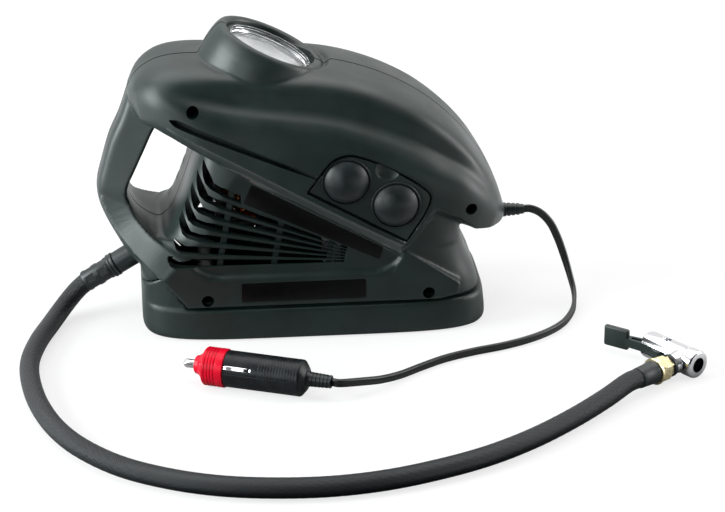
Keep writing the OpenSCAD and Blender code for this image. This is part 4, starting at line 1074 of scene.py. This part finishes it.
def band_form(side):
    """The band that runs from the handle into a flank's plate."""

    def place(i, j):
        ox, oz, oy, ix, iz, iy = curve_through(BAND, i / 5)
        x, y, z = ((ox, oy, oz), (ix, iy, iz), (ix, iy - 9, iz), (ox, oy - 9, oz))[j % 4]
        return Vector((x, side * y, z))

    return bent_grid(5 * (len(BAND) - 1), 4, place)


class INFLATOR_OT_housing(bpy.types.Operator):
    """Builds the two moulded housing halves with their louvres, wells and seam"""

    bl_idname = "inflator.housing"
    bl_label = "Housing"

    def execute(self, context):
        housing = settings("housing")
        body = scratch(hood_form())
        combine(
            body,
            "UNION",
            grip_form(),
            plan_form(TUB_LOW, 5),
            plan_form(TUB_HIGH, 5.5),
            band_form(-1),
            band_form(1),
            prism(PLATE, -PLATE_Y, -38),
            prism(PLATE, 38, PLATE_Y),
        )
        # the crown is cut back to the bezel round the front of the lamp
        dish = [(0, 2.5), (29.4, 2.5), (31.3, 1.2), (32, 1.8), (33.4, 5), (36, 12), (0, 12)]
        combine(body, "DIFFERENCE", turned(dish, 96, LAMP))
        combine(body, "UNION", lamp_collar())
        rounding = {0: 3, 1: 4, 2: 6, 3: 3, 4: 4, 5: 3, 7: 4}
        combine(
            body,
            "DIFFERENCE",
            prism(WINDOW, -90, -WALL_Y, rounding),
            prism(WINDOW, WALL_Y, 90, rounding),
            prism([(-200, -1), (200, -1), *HOUSING_EDGE], -90, 90),
            prism(POCKET, -90, POCKET_Y),
            prism([(-44, 22.5), (-44, 34), (25, 34), (25, 22.5)], -90, -PLATE_Y + 0.35),
        )
        soften(body)
        inner = scratch(hood_form(WALL, (1, 14), 3))
        combine(
            inner,
            "UNION",
            plan_form(TUB_LOW, 5, WALL, 2, True, 64),
            plan_form(TUB_HIGH, 5.5, WALL + 2, 2, True, 64),
        )
        combine(inner, "DIFFERENCE", *[rod(POST, -60, 60, along_y(x, 0, z), 24) for x, z in POSTS])
        # solid wall behind the groove, and under the bezel and the dish in front of it
        combine(inner, "DIFFERENCE", groove_form(9, 8))
        combine(inner, "DIFFERENCE", turned([(0, -32), (33, -32), (33, -9), (42, 8), (0, 8)], 64, LAMP))
        combine(body, "DIFFERENCE", bmesh_of(inner))
        ribs = [
            prism([(x - 6, 36), (x - 3, 36), (x + 8, 100), (x + 5, 100)], side * 41.4, side * 37.6)
            for x in (-52, -22, 8)
            for side in (-1, 1)
        ]
        slots = [prism(slot_outline(k), side * 30, side * 60) for k in range(7) for side in (-1, 1)]
        slots += [
            splayed(slot_outline(k), slot_outline(k, 1.0), side * (WALL_Y - 0.9), side * (WALL_Y + 0.25))
            for k in range(7)
            for side in (-1, 1)
        ]
        # notches where the far louvres run out through the rear corner
        notches = ((-69.8, 94), (-73.2, 84), (-77.1, 74), (-81.2, 64.5))
        slots += [rod(3.2, 16, 60, along_y(x, 0, z), 24) for x, z in notches]
        combine(body, "DIFFERENCE", *slots)
        combine(body, "UNION", *ribs)
        wells = [rod(SCREW_WELL, -100, -8, along_y(x, 0, z), 40) for x, z in POSTS]
        wells += [rod(1.7, -100, 12, along_y(x, 0, z), 20) for x, z in POSTS]
        combine(
            body,
            "DIFFERENCE",
            rod(25.4, -44, 4, LAMP, 96),
            rod(27.4, -6.6, -2.2, LAMP, 96),
            rod(HOSE_HOLE, -6, 24, HOSE_PLACE, 48),
            rod(4.15, -3, 27, GLAND, 32),
            prism(POCKET, -60, -28),
            groove_form(2.3, 4.4),
            *wells,
        )
        half_seam = housing.seam / MM / 2
        for flank, side in (("near", -1), ("far", 1)):
            half = body.copy()
            half.data = body.data.copy()
            context.scene.collection.objects.link(half)
            combine(half, "INTERSECT", block((400, 100, 400), (0, side * (50 + half_seam), 100)))
            name, shell = "housing_" + flank, "shell_" + flank
            made = piece(name, half, "moulded_abs_black", stands_for=[shell], sharp=40)
            self.polish_edge(made.data)
        discard(body)
        return {"FINISHED"}

    @staticmethod
    def polish_edge(mesh):
        """Gives the bevelled strip along the upper housing's lower edge its own finish."""
        mesh.materials.append(skin("moulded_abs_polished"))
        for face in mesh.polygons:
            x, y, z = (c / MM for c in face.center)
            above = z - (EDGE_START[1] - EDGE_SLOPE * (x - EDGE_START[0]))
            bevelled = face.normal.z < -0.3 and abs(face.normal.y) > 0.5
            if bevelled and abs(y) > 40 and -96 < x < 47 and -3 < above < 9:
                face.material_index = 1


class INFLATOR_OT_base(bpy.types.Operator):
    """Builds the base with its pads and the screws of housing and base"""

    bl_idname = "inflator.base"
    bl_label = "Base"

    def execute(self, context):
        # bottom rim, flared skirt, then a rounded shelf that stands proud of the plates above it
        levels = [
            (0, -95.9, 92.4, 45.6),
            (0.8, -97.4, 93.8, 47.1),
            (2.4, -98.3, 94.6, 48.2),
            (6, -98.3, 94.5, 47.9),
            (14.6, -98.4, 93.6, 47.0),
            (16.4, -98.4, 93.3, 46.8),
            (17.6, -98.4, 92.9, 46.3),
            (18.4, -98.4, 92.4, 45.4),
            (37, -98.6, 90.5, 45.2),
        ]
        body = scratch(plan_form(levels, 5, 0, 3, False, 160))
        profile = [(-200, -1), (200, -1), (200, 18.4), *BASE_EDGE, (-200, 26.5)]
        combine(body, "INTERSECT", prism(profile, -90, 90))
        combine(body, "DIFFERENCE", plan_form([(3.2, -94, 90.4, 43.2), (10, -94, 89.8, 42.4), (40, -94, 86, 42)], 5))
        # a tongue stands up inside the housing's lower edge
        tongue = scratch(plan_form([(8, -94.2, 90.2, 42.8), (21.5, -94.2, 87.6, 42.8)], 5, 0, 1, False, 160))
        hollow = plan_form([(4, -94.2, 90, 41.2), (30, -94.2, 86.4, 41.2)], 5, 1.2, 1, False, 160)
        combine(tongue, "DIFFERENCE", hollow)
        combine(body, "UNION", bmesh_of(tongue))
        soften(body, 2, 0.85)
        holes = [Matrix.Translation((x, y, 0)) for x, y in BASE_SCREWS]
        cuts = [rod(7.1, -1, 1.6, Matrix.Translation((x, y, 0))) for x, y in PADS]
        cuts += [rod(SCREW_WELL, -1, 2.9, place, 32) for place in holes]
        cuts += [rod(HOSE_HOLE, -6, 34, HOSE_PLACE, 48)]
        combine(body, "DIFFERENCE", *cuts)
        combine(body, "UNION", *[rod(POST, 1, 10, place, 32) for place in holes])
        combine(body, "DIFFERENCE", *[rod(1.6, -1, 20, place, 20) for place in holes])
        piece("base_tray", body, "moulded_abs_black", stands_for=["base"], sharp=40)

        pad = [(0, 0.25), (1.6, 0.25), (2, 0), (3.2, 0), (3.6, 0.5), (4.2, 0.5), (4.6, 0), (6.5, 0), (7, 0.4),
               (7, 1.6), (0, 1.6)]
        pads = [turned(pad, 40, Matrix.Translation((x, y, 0))) for x, y in PADS]
        piece("base_pads", joined(*pads), "moulded_rubber_black")

        for name, places, sizes in (
            ("case_screws", [along_y(x, -10.5, z) for x, z in POSTS], (3.05, 2.3, 15.9)),
            ("base_screws", [Matrix.Translation((x, y, 0.95)) for x, y in BASE_SCREWS], (3.05, 2.05, 15)),
        ):
            piece(name, joined(*[self.screw(*sizes, place) for place in places]), "zinc_plated_steel")
        return {"FINISHED"}

    @staticmethod
    def screw(head, thick, reach, place):
        """A pan-head screw with a cross recess and a threaded shank, its head's face at zero."""
        profile = [(0, 0), (head - 0.9, 0), (head - 0.25, 0.35), (head, 1.0), (head, thick), (1.2, thick)]
        turns = 10
        for k in range(turns):
            z = thick + 0.6 + (reach - thick - 2) * k / turns
            profile += [(1.15, z), (1.48, z + 0.45), (1.15, z + 0.9)]
        profile += [(0.2, reach), (0, reach)]
        work = scratch(turned(profile, 28))
        for turn in (0, 90):
            cross = Matrix.Rotation(math.radians(turn), 4, "Z")
            combine(work, "DIFFERENCE", block((3.4, 0.7, 2.2), (0, 0, 0), cross))
        return moved(bmesh_of(work), place)


class INFLATOR_OT_labels(bpy.types.Operator):
    """Builds the two bare labels"""

    bl_idname = "inflator.labels"
    bl_label = "Labels"

    def execute(self, context):
        for name, outline, face, back in (
            ("upper_label", [(-42, 80.5), (-37.4, 91), (34.6, 51.4), (32.4, 44.4)], WALL_Y + 0.35, WALL_Y + 0.02),
            ("lower_label", [(-43.8, 22.7), (-43.8, 33.8), (24.8, 33.8), (24.8, 22.7)], PLATE_Y + 0.1, PLATE_Y - 0.37),
        ):
            label = prism(outline, -face, -back, dict.fromkeys(range(4), 0.8))
            piece(name, round_edges(label, 0.1), "label_vinyl_black")
        return {"FINISHED"}


# ---- work light ----------------------------------------------------------------------------
class INFLATOR_OT_light(bpy.types.Operator):
    """Builds the work light: ring, lens, faceted reflector and bulb"""

    bl_idname = "inflator.light"
    bl_label = "Work light"

    def execute(self, context):
        ring = turned(
            [(22.8, -6.5), (27.3, -6.5), (27.3, -2.4), (25.3, -2.4), (25.3, -0.9), (25.1, -0.7), (24.4, -0.7),
             (24.2, -0.9), (24.2, -4.5), (22.8, -4.5), (22.8, -6.5)],
            96,
            LAMP,
        )
        piece("lamp_ring", ring, "moulded_abs_black")

        # clear cap: a flat window with a raised rim and two moulded steps
        lens = turned(
            [(0, -4.45), (22.2, -4.45), (24.0, -4.45), (24.0, -0.8), (23.7, -0.5), (23.4, -0.6), (23.3, -1.6),
             (22.9, -1.8), (22.8, -2.6), (22.4, -2.8), (22.2, -3.2), (21.8, -3.35), (0, -3.0)],
            96,
            LAMP,
        )
        cap = piece("lamp_lens", lens, "clear_polycarbonate").data
        cap.materials.append(skin("polished_polycarbonate"))
        for face in cap.polygons:
            spot = LAMP.inverted() @ (face.center / MM)
            face.material_index = int(math.hypot(spot.x, spot.y) > 21.5)

        # the bowl is moulded in flat facets, ring by ring, each row turned half a facet
        depth, rows, facets = 20, 7, 24
        flange = [(22.5 - 1.3, -6.62), (25.3, -6.62), (25.3, -8.0)]

        def bowl(rim, throat, top):
            # from the rim down to the throat round the bulb
            shares = [k / rows for k in range(rows + 1)]
            return [(rim + (throat - rim) * share, top - depth * share * (2 - share)) for share in shares]

        form = turned(flange + bowl(23.2, 8.2, -8.0) + bowl(22.0, 7.1, -7.0)[::-1] + [flange[0]], facets * 2)
        ups = [v for v in form.verts if v.co.z < -7.5]
        for v in ups:
            row = round((-7.0 - v.co.z) / depth * rows * 1.6)
            if row % 2:
                v.co = Matrix.Rotation(math.tau / facets / 4, 3, "Z") @ v.co
        moved(form, LAMP)
        bmesh.ops.recalc_face_normals(form, faces=form.faces)
        piece("lamp_reflector", form, "lacquered_aluminium", sharp=9)

        seat = LAMP @ Matrix.Translation((0, 0, -23.5))
        glass = [(0, -6), (2.6, -6), (3, -5.5), (3, 0.3)]
        glass += [(4.2 * math.cos(math.radians(a)), 4.5 + 4.2 * math.sin(math.radians(a))) for a in range(-38, 90, 8)]
        glass += [(0, 8.7)]
        bulb = turned(glass, 48, seat)
        piece("lamp_bulb", bulb, "bulb_glass")
        wires = [rod(0.22, -3, 4.6, seat @ Matrix.Translation((x, 0, 0)), 8) for x in (-1.3, 1.3)]
        turns = []
        for k in range(61):
            a = 1.2 * k
            spot = Vector((-1.3 + 2.6 * k / 60, 0.45 * math.cos(a), 4.8 + 0.45 * math.sin(a)))
            turns.append(tuple(seat @ spot))
        coil = tube(turns, 6, lambda i, a: (0.12 * math.cos(a), 0.12 * math.sin(a)), (0.3, 0.9, 0.2))
        piece("lamp_filament", joined(*wires, coil), "tungsten", stands_for=())
        keep("bulb_holder", "moulded_nylon_black")
        return {"FINISHED"}


# ---- switches ------------------------------------------------------------------------------
def inset_outline(points, by):
    """The outline moved in by a steady distance."""
    out = []
    n = len(points)
    area = sum(points[i][0] * points[(i + 1) % n][1] - points[(i + 1) % n][0] * points[i][1] for i in range(n))
    side = 1 if area > 0 else -1
    for i in range(n):
        a, b, c = (Vector(points[(i + k) % n]) for k in (-1, 0, 1))
        d1, d2 = (b - a).normalized(), (c - b).normalized()
        n1, n2 = Vector((-d1.y, d1.x)) * side, Vector((-d2.y, d2.x)) * side
        m = n1 + n2
        out.append(tuple(b + m * (by / max(0.35, m.dot(n1)))))
    return out


class INFLATOR_OT_switches(bpy.types.Operator):
    """Builds the switch panel, its domed push buttons and the rings round them"""

    bl_idname = "inflator.switches"
    bl_label = "Switches"

    def execute(self, context):
        plate = prism(inset_outline(POCKET, 1.2), PANEL_Y, PANEL_BACK)
        work = scratch(round_edges(plate, 0.35, 40))
        rim = prism(inset_outline(POCKET, -1.9), -45.3, -44.2)
        combine(work, "UNION", rim)
        combine(work, "UNION", *[rod(15.6, 0, 12.4, along_y(x, -45.45, z), 64) for x, z in BUTTONS])
        for x, z in BUTTONS:
            combine(
                work,
                "DIFFERENCE",
                rod(12.7, -1, 30, along_y(x, PANEL_Y, z), 72),
                rod(13.9, -1, 1.2, along_y(x, PANEL_Y, z), 72),
                rod(14, 0, 30, along_y(x, PANEL_BACK, z), 64),
            )
        # finger notch in the panel's upper edge, a scooped half moon
        scoop = bmesh.new()
        bmesh.ops.create_uvsphere(scoop, u_segments=48, v_segments=24, radius=7.2)
        bmesh.ops.scale(scoop, vec=(1, 0.36, 1), verts=scoop.verts)
        bmesh.ops.translate(scoop, vec=(36.4, PANEL_Y - 0.3, 99.6), verts=scoop.verts)
        combine(work, "DIFFERENCE", scoop)
        piece("switch_panel", work, "moulded_abs_black", sharp=35)

        seal = [(12.72, -0.5), (13.0, -0.6), (13.5, -0.55), (13.8, -0.2), (13.8, 1.1), (12.72, 1.1), (12.72, -0.5)]
        seals = [turned(seal, 72, along_y(x, PANEL_Y, z)) for x, z in BUTTONS]
        piece("button_seals", joined(*seals), "moulded_rubber_black")

        radius, rise = 12.4, 5.6
        dome = (radius**2 + rise**2) / (2 * rise)
        for name, (x, z) in zip(("compressor_button", "light_button"), BUTTONS):
            reach = math.asin(radius / dome)
            profile = [(0, -rise)]
            for k in range(1, 23):
                a = reach * k / 23
                profile.append((dome * math.sin(a), dome - rise - dome * math.cos(a)))
            profile += [(radius - 0.35, -0.55), (radius - 0.08, -0.2), (radius, 0.3), (radius, 3.3), (13.6, 3.3),
                        (13.6, 4.7), (3, 4.7), (3, 13.9), (0, 13.9)]
            button = turned(profile, 72, along_y(x, PANEL_Y, z))
            piece(name, button, "moulded_rubber_black", body=name + "_body", sharp=25)
        keep("compressor_switch", "moulded_nylon_black")
        keep("light_switch", "moulded_nylon_black")
        return {"FINISHED"}


# ---- drive ---------------------------------------------------------------------------------
class INFLATOR_OT_drive(bpy.types.Operator):
    """Finishes the motor and compressor that show through the louvres"""

    bl_idname = "inflator.drive"
    bl_label = "Motor and compressor"

    def execute(self, context):
        for name, nodes in {
            "moulded_nylon_black": ("motor_end_frame", "cooling_fan"),
            "plated_drawn_steel": ("motor_shaft", "gear_shaft", "crank_pin", "crank_gear"),
            "die_cast_aluminium": ("gearbox_frame", "piston", "cylinder", "cylinder_head"),
            "turned_brass": ("shaft_bushes", "gear_bush", "pinion", "hose_fitting"),
            "moulded_rubber_black": ("head_gasket", "piston_seal", "chuck_seal", "air_tube"),
            "zinc_plated_steel": ("head_screws",),
            "wire_pvc_red": ("motor_leads",),
            "bulb_glass": ("plug_fuse",),
            "enamelled_copper": ("commutator",),
        }.items():
            for node in nodes:
                keep(node, name)

        can = turned(
            [(6, 42.9), (19.5, 42.9), (21.3, 42.5), (22, 41.3), (22, 9.2), (21.6, 8.8), (21.6, 7.6), (22, 7.2),
             (22, 0.5), (21.6, 0), (20.4, 0), (20, 0.5), (20, 41.4), (6, 41.4), (6, 42.9)],
            96,
            along_x(-34, MOTOR_Z),
        )
        piece("motor_can", can, "plated_drawn_steel")

        # end turns: loops of wire that bow out of the core, laid over one another
        core = turned([(2.5, 9.9), (17.4, 9.9), (17.5, 10.3), (17.5, 34.9), (17.4, 35.2), (2.5, 35.2), (2.5, 9.9)], 60)
        loops = []
        for end, reach in ((9.9, -9.4), (35.2, 4.6)):
            for k in range(12):
                turn = Matrix.Rotation(math.tau * k / 12, 3, "Z")
                route = []
                for i in range(13):
                    a = math.pi * i / 12
                    across = math.radians(52) * math.cos(a)
                    r = 12.2 + 2.6 * (k % 2)
                    bow = reach * math.sin(a) * (1 if k % 2 else 0.82)
                    route.append(tuple(turn @ Vector((r * math.cos(across), r * math.sin(across), end + bow))))
                loops.append(tube(route, 10, lambda i, a: (1.7 * math.cos(a), 1.4 * math.sin(a)), (0, 0, 1)))
        hub = turned([(2.5, 0.6), (8.5, 0.6), (8.5, 9.9), (2.5, 9.9), (2.5, 0.6)], 32)
        armature = joined(core, hub, *loops)
        moved(armature, along_x(-44, MOTOR_Z))
        piece("armature", armature, "enamelled_copper", body="motor_rotor")
        return {"FINISHED"}


# ---- chuck ---------------------------------------------------------------------------------
class INFLATOR_OT_chuck(bpy.types.Operator):
    """Builds the coupling nut, the chuck, its lever and pin"""

    bl_idname = "inflator.chuck"
    bl_label = "Chuck"

    def execute(self, context):
        flats = 13
        nut = turned(
            [(0, 0), (7.0, 0), (7.4, 0.3), (7.4, 1.0), (7.0, 1.5), (7.1, 2.2), (7.45, 3.0), (7.45, 6.4), (7.1, 7.3),
             (6.3, 8), (5.2, 8.3), (5.2, 8.9), (5.7, 9.2), (5.7, 11), (0, 11)],
            60,
        )
        work = scratch(nut)
        across = flats / math.sqrt(3)
        hexagon = turned([(0, 1.6), (across, 1.6), (across, 8.15), (5.75, 8.15), (5.75, 12), (0, 12)], 6)
        hexagon = combine(scratch(hexagon), "UNION", rod(7.5, -1, 1.7, None, 60))
        combine(work, "INTERSECT", bmesh_of(hexagon))
        piece("coupling_nut", moved(bmesh_of(work), nut_place(12)), "plated_brass", sharp=25)
        washer = turned(
            [(0, 0.02), (5.9, 0.02), (6.3, 0.4), (6.3, 1.8), (5.9, 2.18), (0, 2.18)],
            48,
            nut_place(23),
        )
        piece("chuck_washer", washer, "moulded_rubber_black")

        place = lay(CHUCK_REAR, CHUCK_HEADING)
        barrel = scratch(
            turned(
                [(0, 0), (5.4, 0), (6.4, 0.25), (7.05, 0.9), (7.3, 1.9), (7.3, 28.6), (7.05, 28.9), (7.05, 29.5),
                 (7.7, 29.9), (7.7, 35.4), (7.45, 36.3), (6.8, 36.9), (6.2, 37), (0, 37)],
                96,
                place,
            )
        )
        boss = turned(
            [(0, 0), (5.0, 0), (5.3, 0.5), (5.6, 3), (6.2, 5.5), (6.5, 8.5), (0, 8.5)],
            64,
            lay(NUT_MEETS - NUT_AXIS * (36 - 25.2), NUT_HEADING),
        )
        combine(barrel, "UNION", boss)
        # the valve's bore and the seal's chamber, the lever's slot, and the pin's hole and head
        turn = Matrix.Translation(LEVER_AT) @ Matrix.Rotation(math.radians(CHUCK_HEADING), 4, "Z")
        combine(
            barrel,
            "DIFFERENCE",
            rod(4.2, 23, 40, place, 64),
            rod(6, 30, 35, place, 64),
            block((PIN_ALONG + 1 + 4.9, 60, 5.6), ((4.9 - PIN_ALONG - 1) / 2, 0, 0), turn),
            rod(1.62, -10, 10, turn, 32),
            rod(2.5, 4.9, 9, turn, 32),
        )
        piece("chuck_barrel", barrel, "chrome_plate", sharp=28)
        pin = turned(
            [(0, -7.0), (1.2, -7.0), (1.6, -6.6), (1.6, 4.3), (1.2, 4.7), (0.5, 4.6), (0, 4.5)], 32,
            Matrix.Translation(LEVER_AT),
        )
        piece("lever_pin", pin, "zinc_plated_steel")
        self.lever()
        return {"FINISHED"}

    @staticmethod
    def lever():
        """The thumb lever: cam, ribbed arm and thick paddle, in one moulding."""
        place = Matrix.Translation(LEVER_AT - Vector((0, 0, 2.5))) @ Matrix.Rotation(
            math.radians(CHUCK_HEADING + 180 + 15), 4, "Z"
        )

        def level_prism(outline, z0, z1, corners=None):
            # an outline in X and Y, standing between two heights
            return prism([(x, -y) for x, y in outline], z0, z1, corners, Matrix.Rotation(math.radians(90), 4, "X"))

        work = scratch(rod(4.6, 0.05, 4.95, None, 64))
        arm = [(0, -4.4), (24, -2.2), (24, 2.4), (9, 3.4), (4, 8.2), (0.5, 8.6), (-2.5, 4)]
        combine(work, "UNION", level_prism(arm, 0.05, 4.95, {4: 1.2, 5: 1.2}))
        paddle = block((15, 3.2, 12), (30.5, 0, 3.2))
        combine(work, "UNION", round_edges(paddle, 1.3, 30, 4))
        # hollows in the arm's upper and lower face leave a rib on each side
        hollow = [(9, -2.2), (21.5, -1.1), (21.5, 1.2), (9, 1.8)]
        pin_hole = rod(1.66, -1, 6, None, 32)
        combine(work, "DIFFERENCE", level_prism(hollow, 3.9, 6), level_prism(hollow, -1, 1.1), pin_hole)
        form = moved(bmesh_of(work), place)
        piece("chuck_lever", form, "moulded_abs_black", body="chuck_lever_body", sharp=30)


# ---- plug ----------------------------------------------------------------------------------
class INFLATOR_OT_plug(bpy.types.Operator):
    """Builds the vehicle plug: tip, red cap and ring, barrel, side contacts and relief"""

    bl_idname = "inflator.plug"
    bl_label = "Plug"

    def execute(self, context):
        tip = turned(
            [(0, 0), (0.8, 0.05), (1.5, 0.35), (2.1, 0.95), (2.4, 1.8), (2.4, 7.4), (3.4, 7.4), (3.4, 9), (0, 9)],
            48,
            plug_place(0),
        )
        piece("plug_tip", tip, "chrome_plate", body="plug_tip_body")

        nose = turned(
            [(2.6, 1.3), (3.3, 1.2), (4.4, 1.35), (4.8, 1.7), (5.0, 2.3), (5.2, 3.2), (5.8, 4.1), (6.8, 5.1),
             (7.7, 5.8), (8.2, 6.2), (8.2, 6.5), (3.7, 6.5), (3.7, 2.6), (2.6, 2.5), (2.6, 1.3)],
            48,
            plug_place(5.5),
        )
        piece("plug_nose", nose, "moulded_abs_red")

        profile = [(3.5, 0), (8.7, 0), (9.5, 0.25), (10.1, 0.8)]
        for k in range(4):
            z = 1.1 + 1.75 * k
            profile += [(10.15, z), (10.42, z + 0.15), (10.48, z + 0.6), (10.42, z + 1.15), (10.15, z + 1.35)]
        profile += [(10.15, 8.2), (10.45, 8.35), (10.5, 8.6), (10.5, 12.1), (10.2, 12.48), (3.5, 12.48), (3.5, 0)]
        ring = turned(profile, 96, plug_place(12))
        piece("plug_ring", ring, "moulded_abs_red")

        barrel = [(0, 16.2), (3.5, 16.2), (3.5, 0), (9.6, 0), (9.9, 0.35), (9.9, 9)]
        for k in range(14):
            z = 19 + 1.6 * k
            barrel += [(9.9, z), (9.84, z + 0.3), (9.84, z + 0.6), (9.9, z + 0.9)]
        barrel += [(9.9, 41.4), (9.75, 42.0), (9.3, 42.5), (6.4, 44.7), (5.8, 45), (0, 45)]
        # the side contacts face outward and a little up
        place = plug_place(24.5) @ Matrix.Rotation(math.radians(-27), 4, "Z")
        work = scratch(turned(barrel, 96))
        for side in (-1, 1):
            combine(work, "DIFFERENCE", block((2.8, 3, 17), (0, side * 9.4, 7.6)))
            # parting line of the two barrel halves
            combine(work, "DIFFERENCE", block((0.3, 0.8, 60), (3.4, side * 9.5, 20)))
        piece("plug_barrel", moved(bmesh_of(work), place), "moulded_phenolic_black")

        springs = []
        for side in (-1, 1):
            # a bowed strip, thickest at its free end
            steps = 14

            def place_strip(i, j, side=side):
                k = i / steps
                bow = 9.3 + 0.95 * math.sin(math.pi * min(1, k * 1.08)) ** 0.6
                low = 7.9
                corner = [(-1.1, low), (1.1, low), (1.1, bow - 0.2), (0.8, bow), (-0.8, bow), (-1.1, bow - 0.2)][j % 6]
                return Vector((corner[0], side * corner[1], 0.2 + 15.4 * k))

            springs.append(bent_grid(steps, 6, place_strip))
        piece("plug_contacts", moved(joined(*springs), place), "chrome_plate")

        relief = [(0, 0), (4.4, 0), (4.25, 0.5), (4.0, 1.2)]
        for k in range(5):
            z = 1.6 + 2.05 * k
            r = 3.95 - 0.09 * k
            relief += [(r, z), (r, z + 1.3), (r - 0.35, z + 1.45), (r - 0.35, z + 1.9)]
        relief += [(3.5, 12.0), (3.5, 12.8), (3.3, 12.98), (0, 12.98)]
        form = turned(relief, 40, plug_place(69.5))
        piece("plug_relief", form, "moulded_rubber_black")
        return {"FINISHED"}


class INFLATOR_PT_panel(bpy.types.Panel):
    """Sizes, colours and build steps of the tyre inflator"""

    bl_label = "Tyre inflator"
    bl_space_type = "VIEW_3D"
    bl_region_type = "UI"
    bl_category = "Inflator"

    def draw(self, context):
        layout = self.layout
        for name in GROUPS:
            box = layout.box()
            box.label(text=name.capitalize())
            for key in getattr(context.scene, "inflator_" + name).bl_rna.properties.keys():
                if key not in ("rna_type", "name"):
                    box.prop(getattr(context.scene, "inflator_" + name), key)
        for step in STEPS:
            layout.operator(step.bl_idname)


GROUPS = {"housing": HousingSettings, "hose": HoseSettings, "plug": PlugSettings, "stage": StageSettings}
STEPS = [
    INFLATOR_OT_stage,
    INFLATOR_OT_hose,
    INFLATOR_OT_cord,
    INFLATOR_OT_housing,
    INFLATOR_OT_base,
    INFLATOR_OT_labels,
    INFLATOR_OT_light,
    INFLATOR_OT_switches,
    INFLATOR_OT_drive,
    INFLATOR_OT_chuck,
    INFLATOR_OT_plug,
]


def register():
    for cls in [*GROUPS.values(), *STEPS, INFLATOR_PT_panel]:
        bpy.utils.register_class(cls)
    for name, group in GROUPS.items():
        setattr(bpy.types.Scene, "inflator_" + name, bpy.props.PointerProperty(type=group))


def unregister():
    for name in GROUPS:
        delattr(bpy.types.Scene, "inflator_" + name)
    for cls in [INFLATOR_PT_panel, *reversed(STEPS), *reversed(GROUPS.values())]:
        bpy.utils.unregister_class(cls)


def main():
    register()
    for step in STEPS:
        group, name = step.bl_idname.split(".")
        getattr(getattr(bpy.ops, group), name)()


if __name__ == "__main__":
    main()
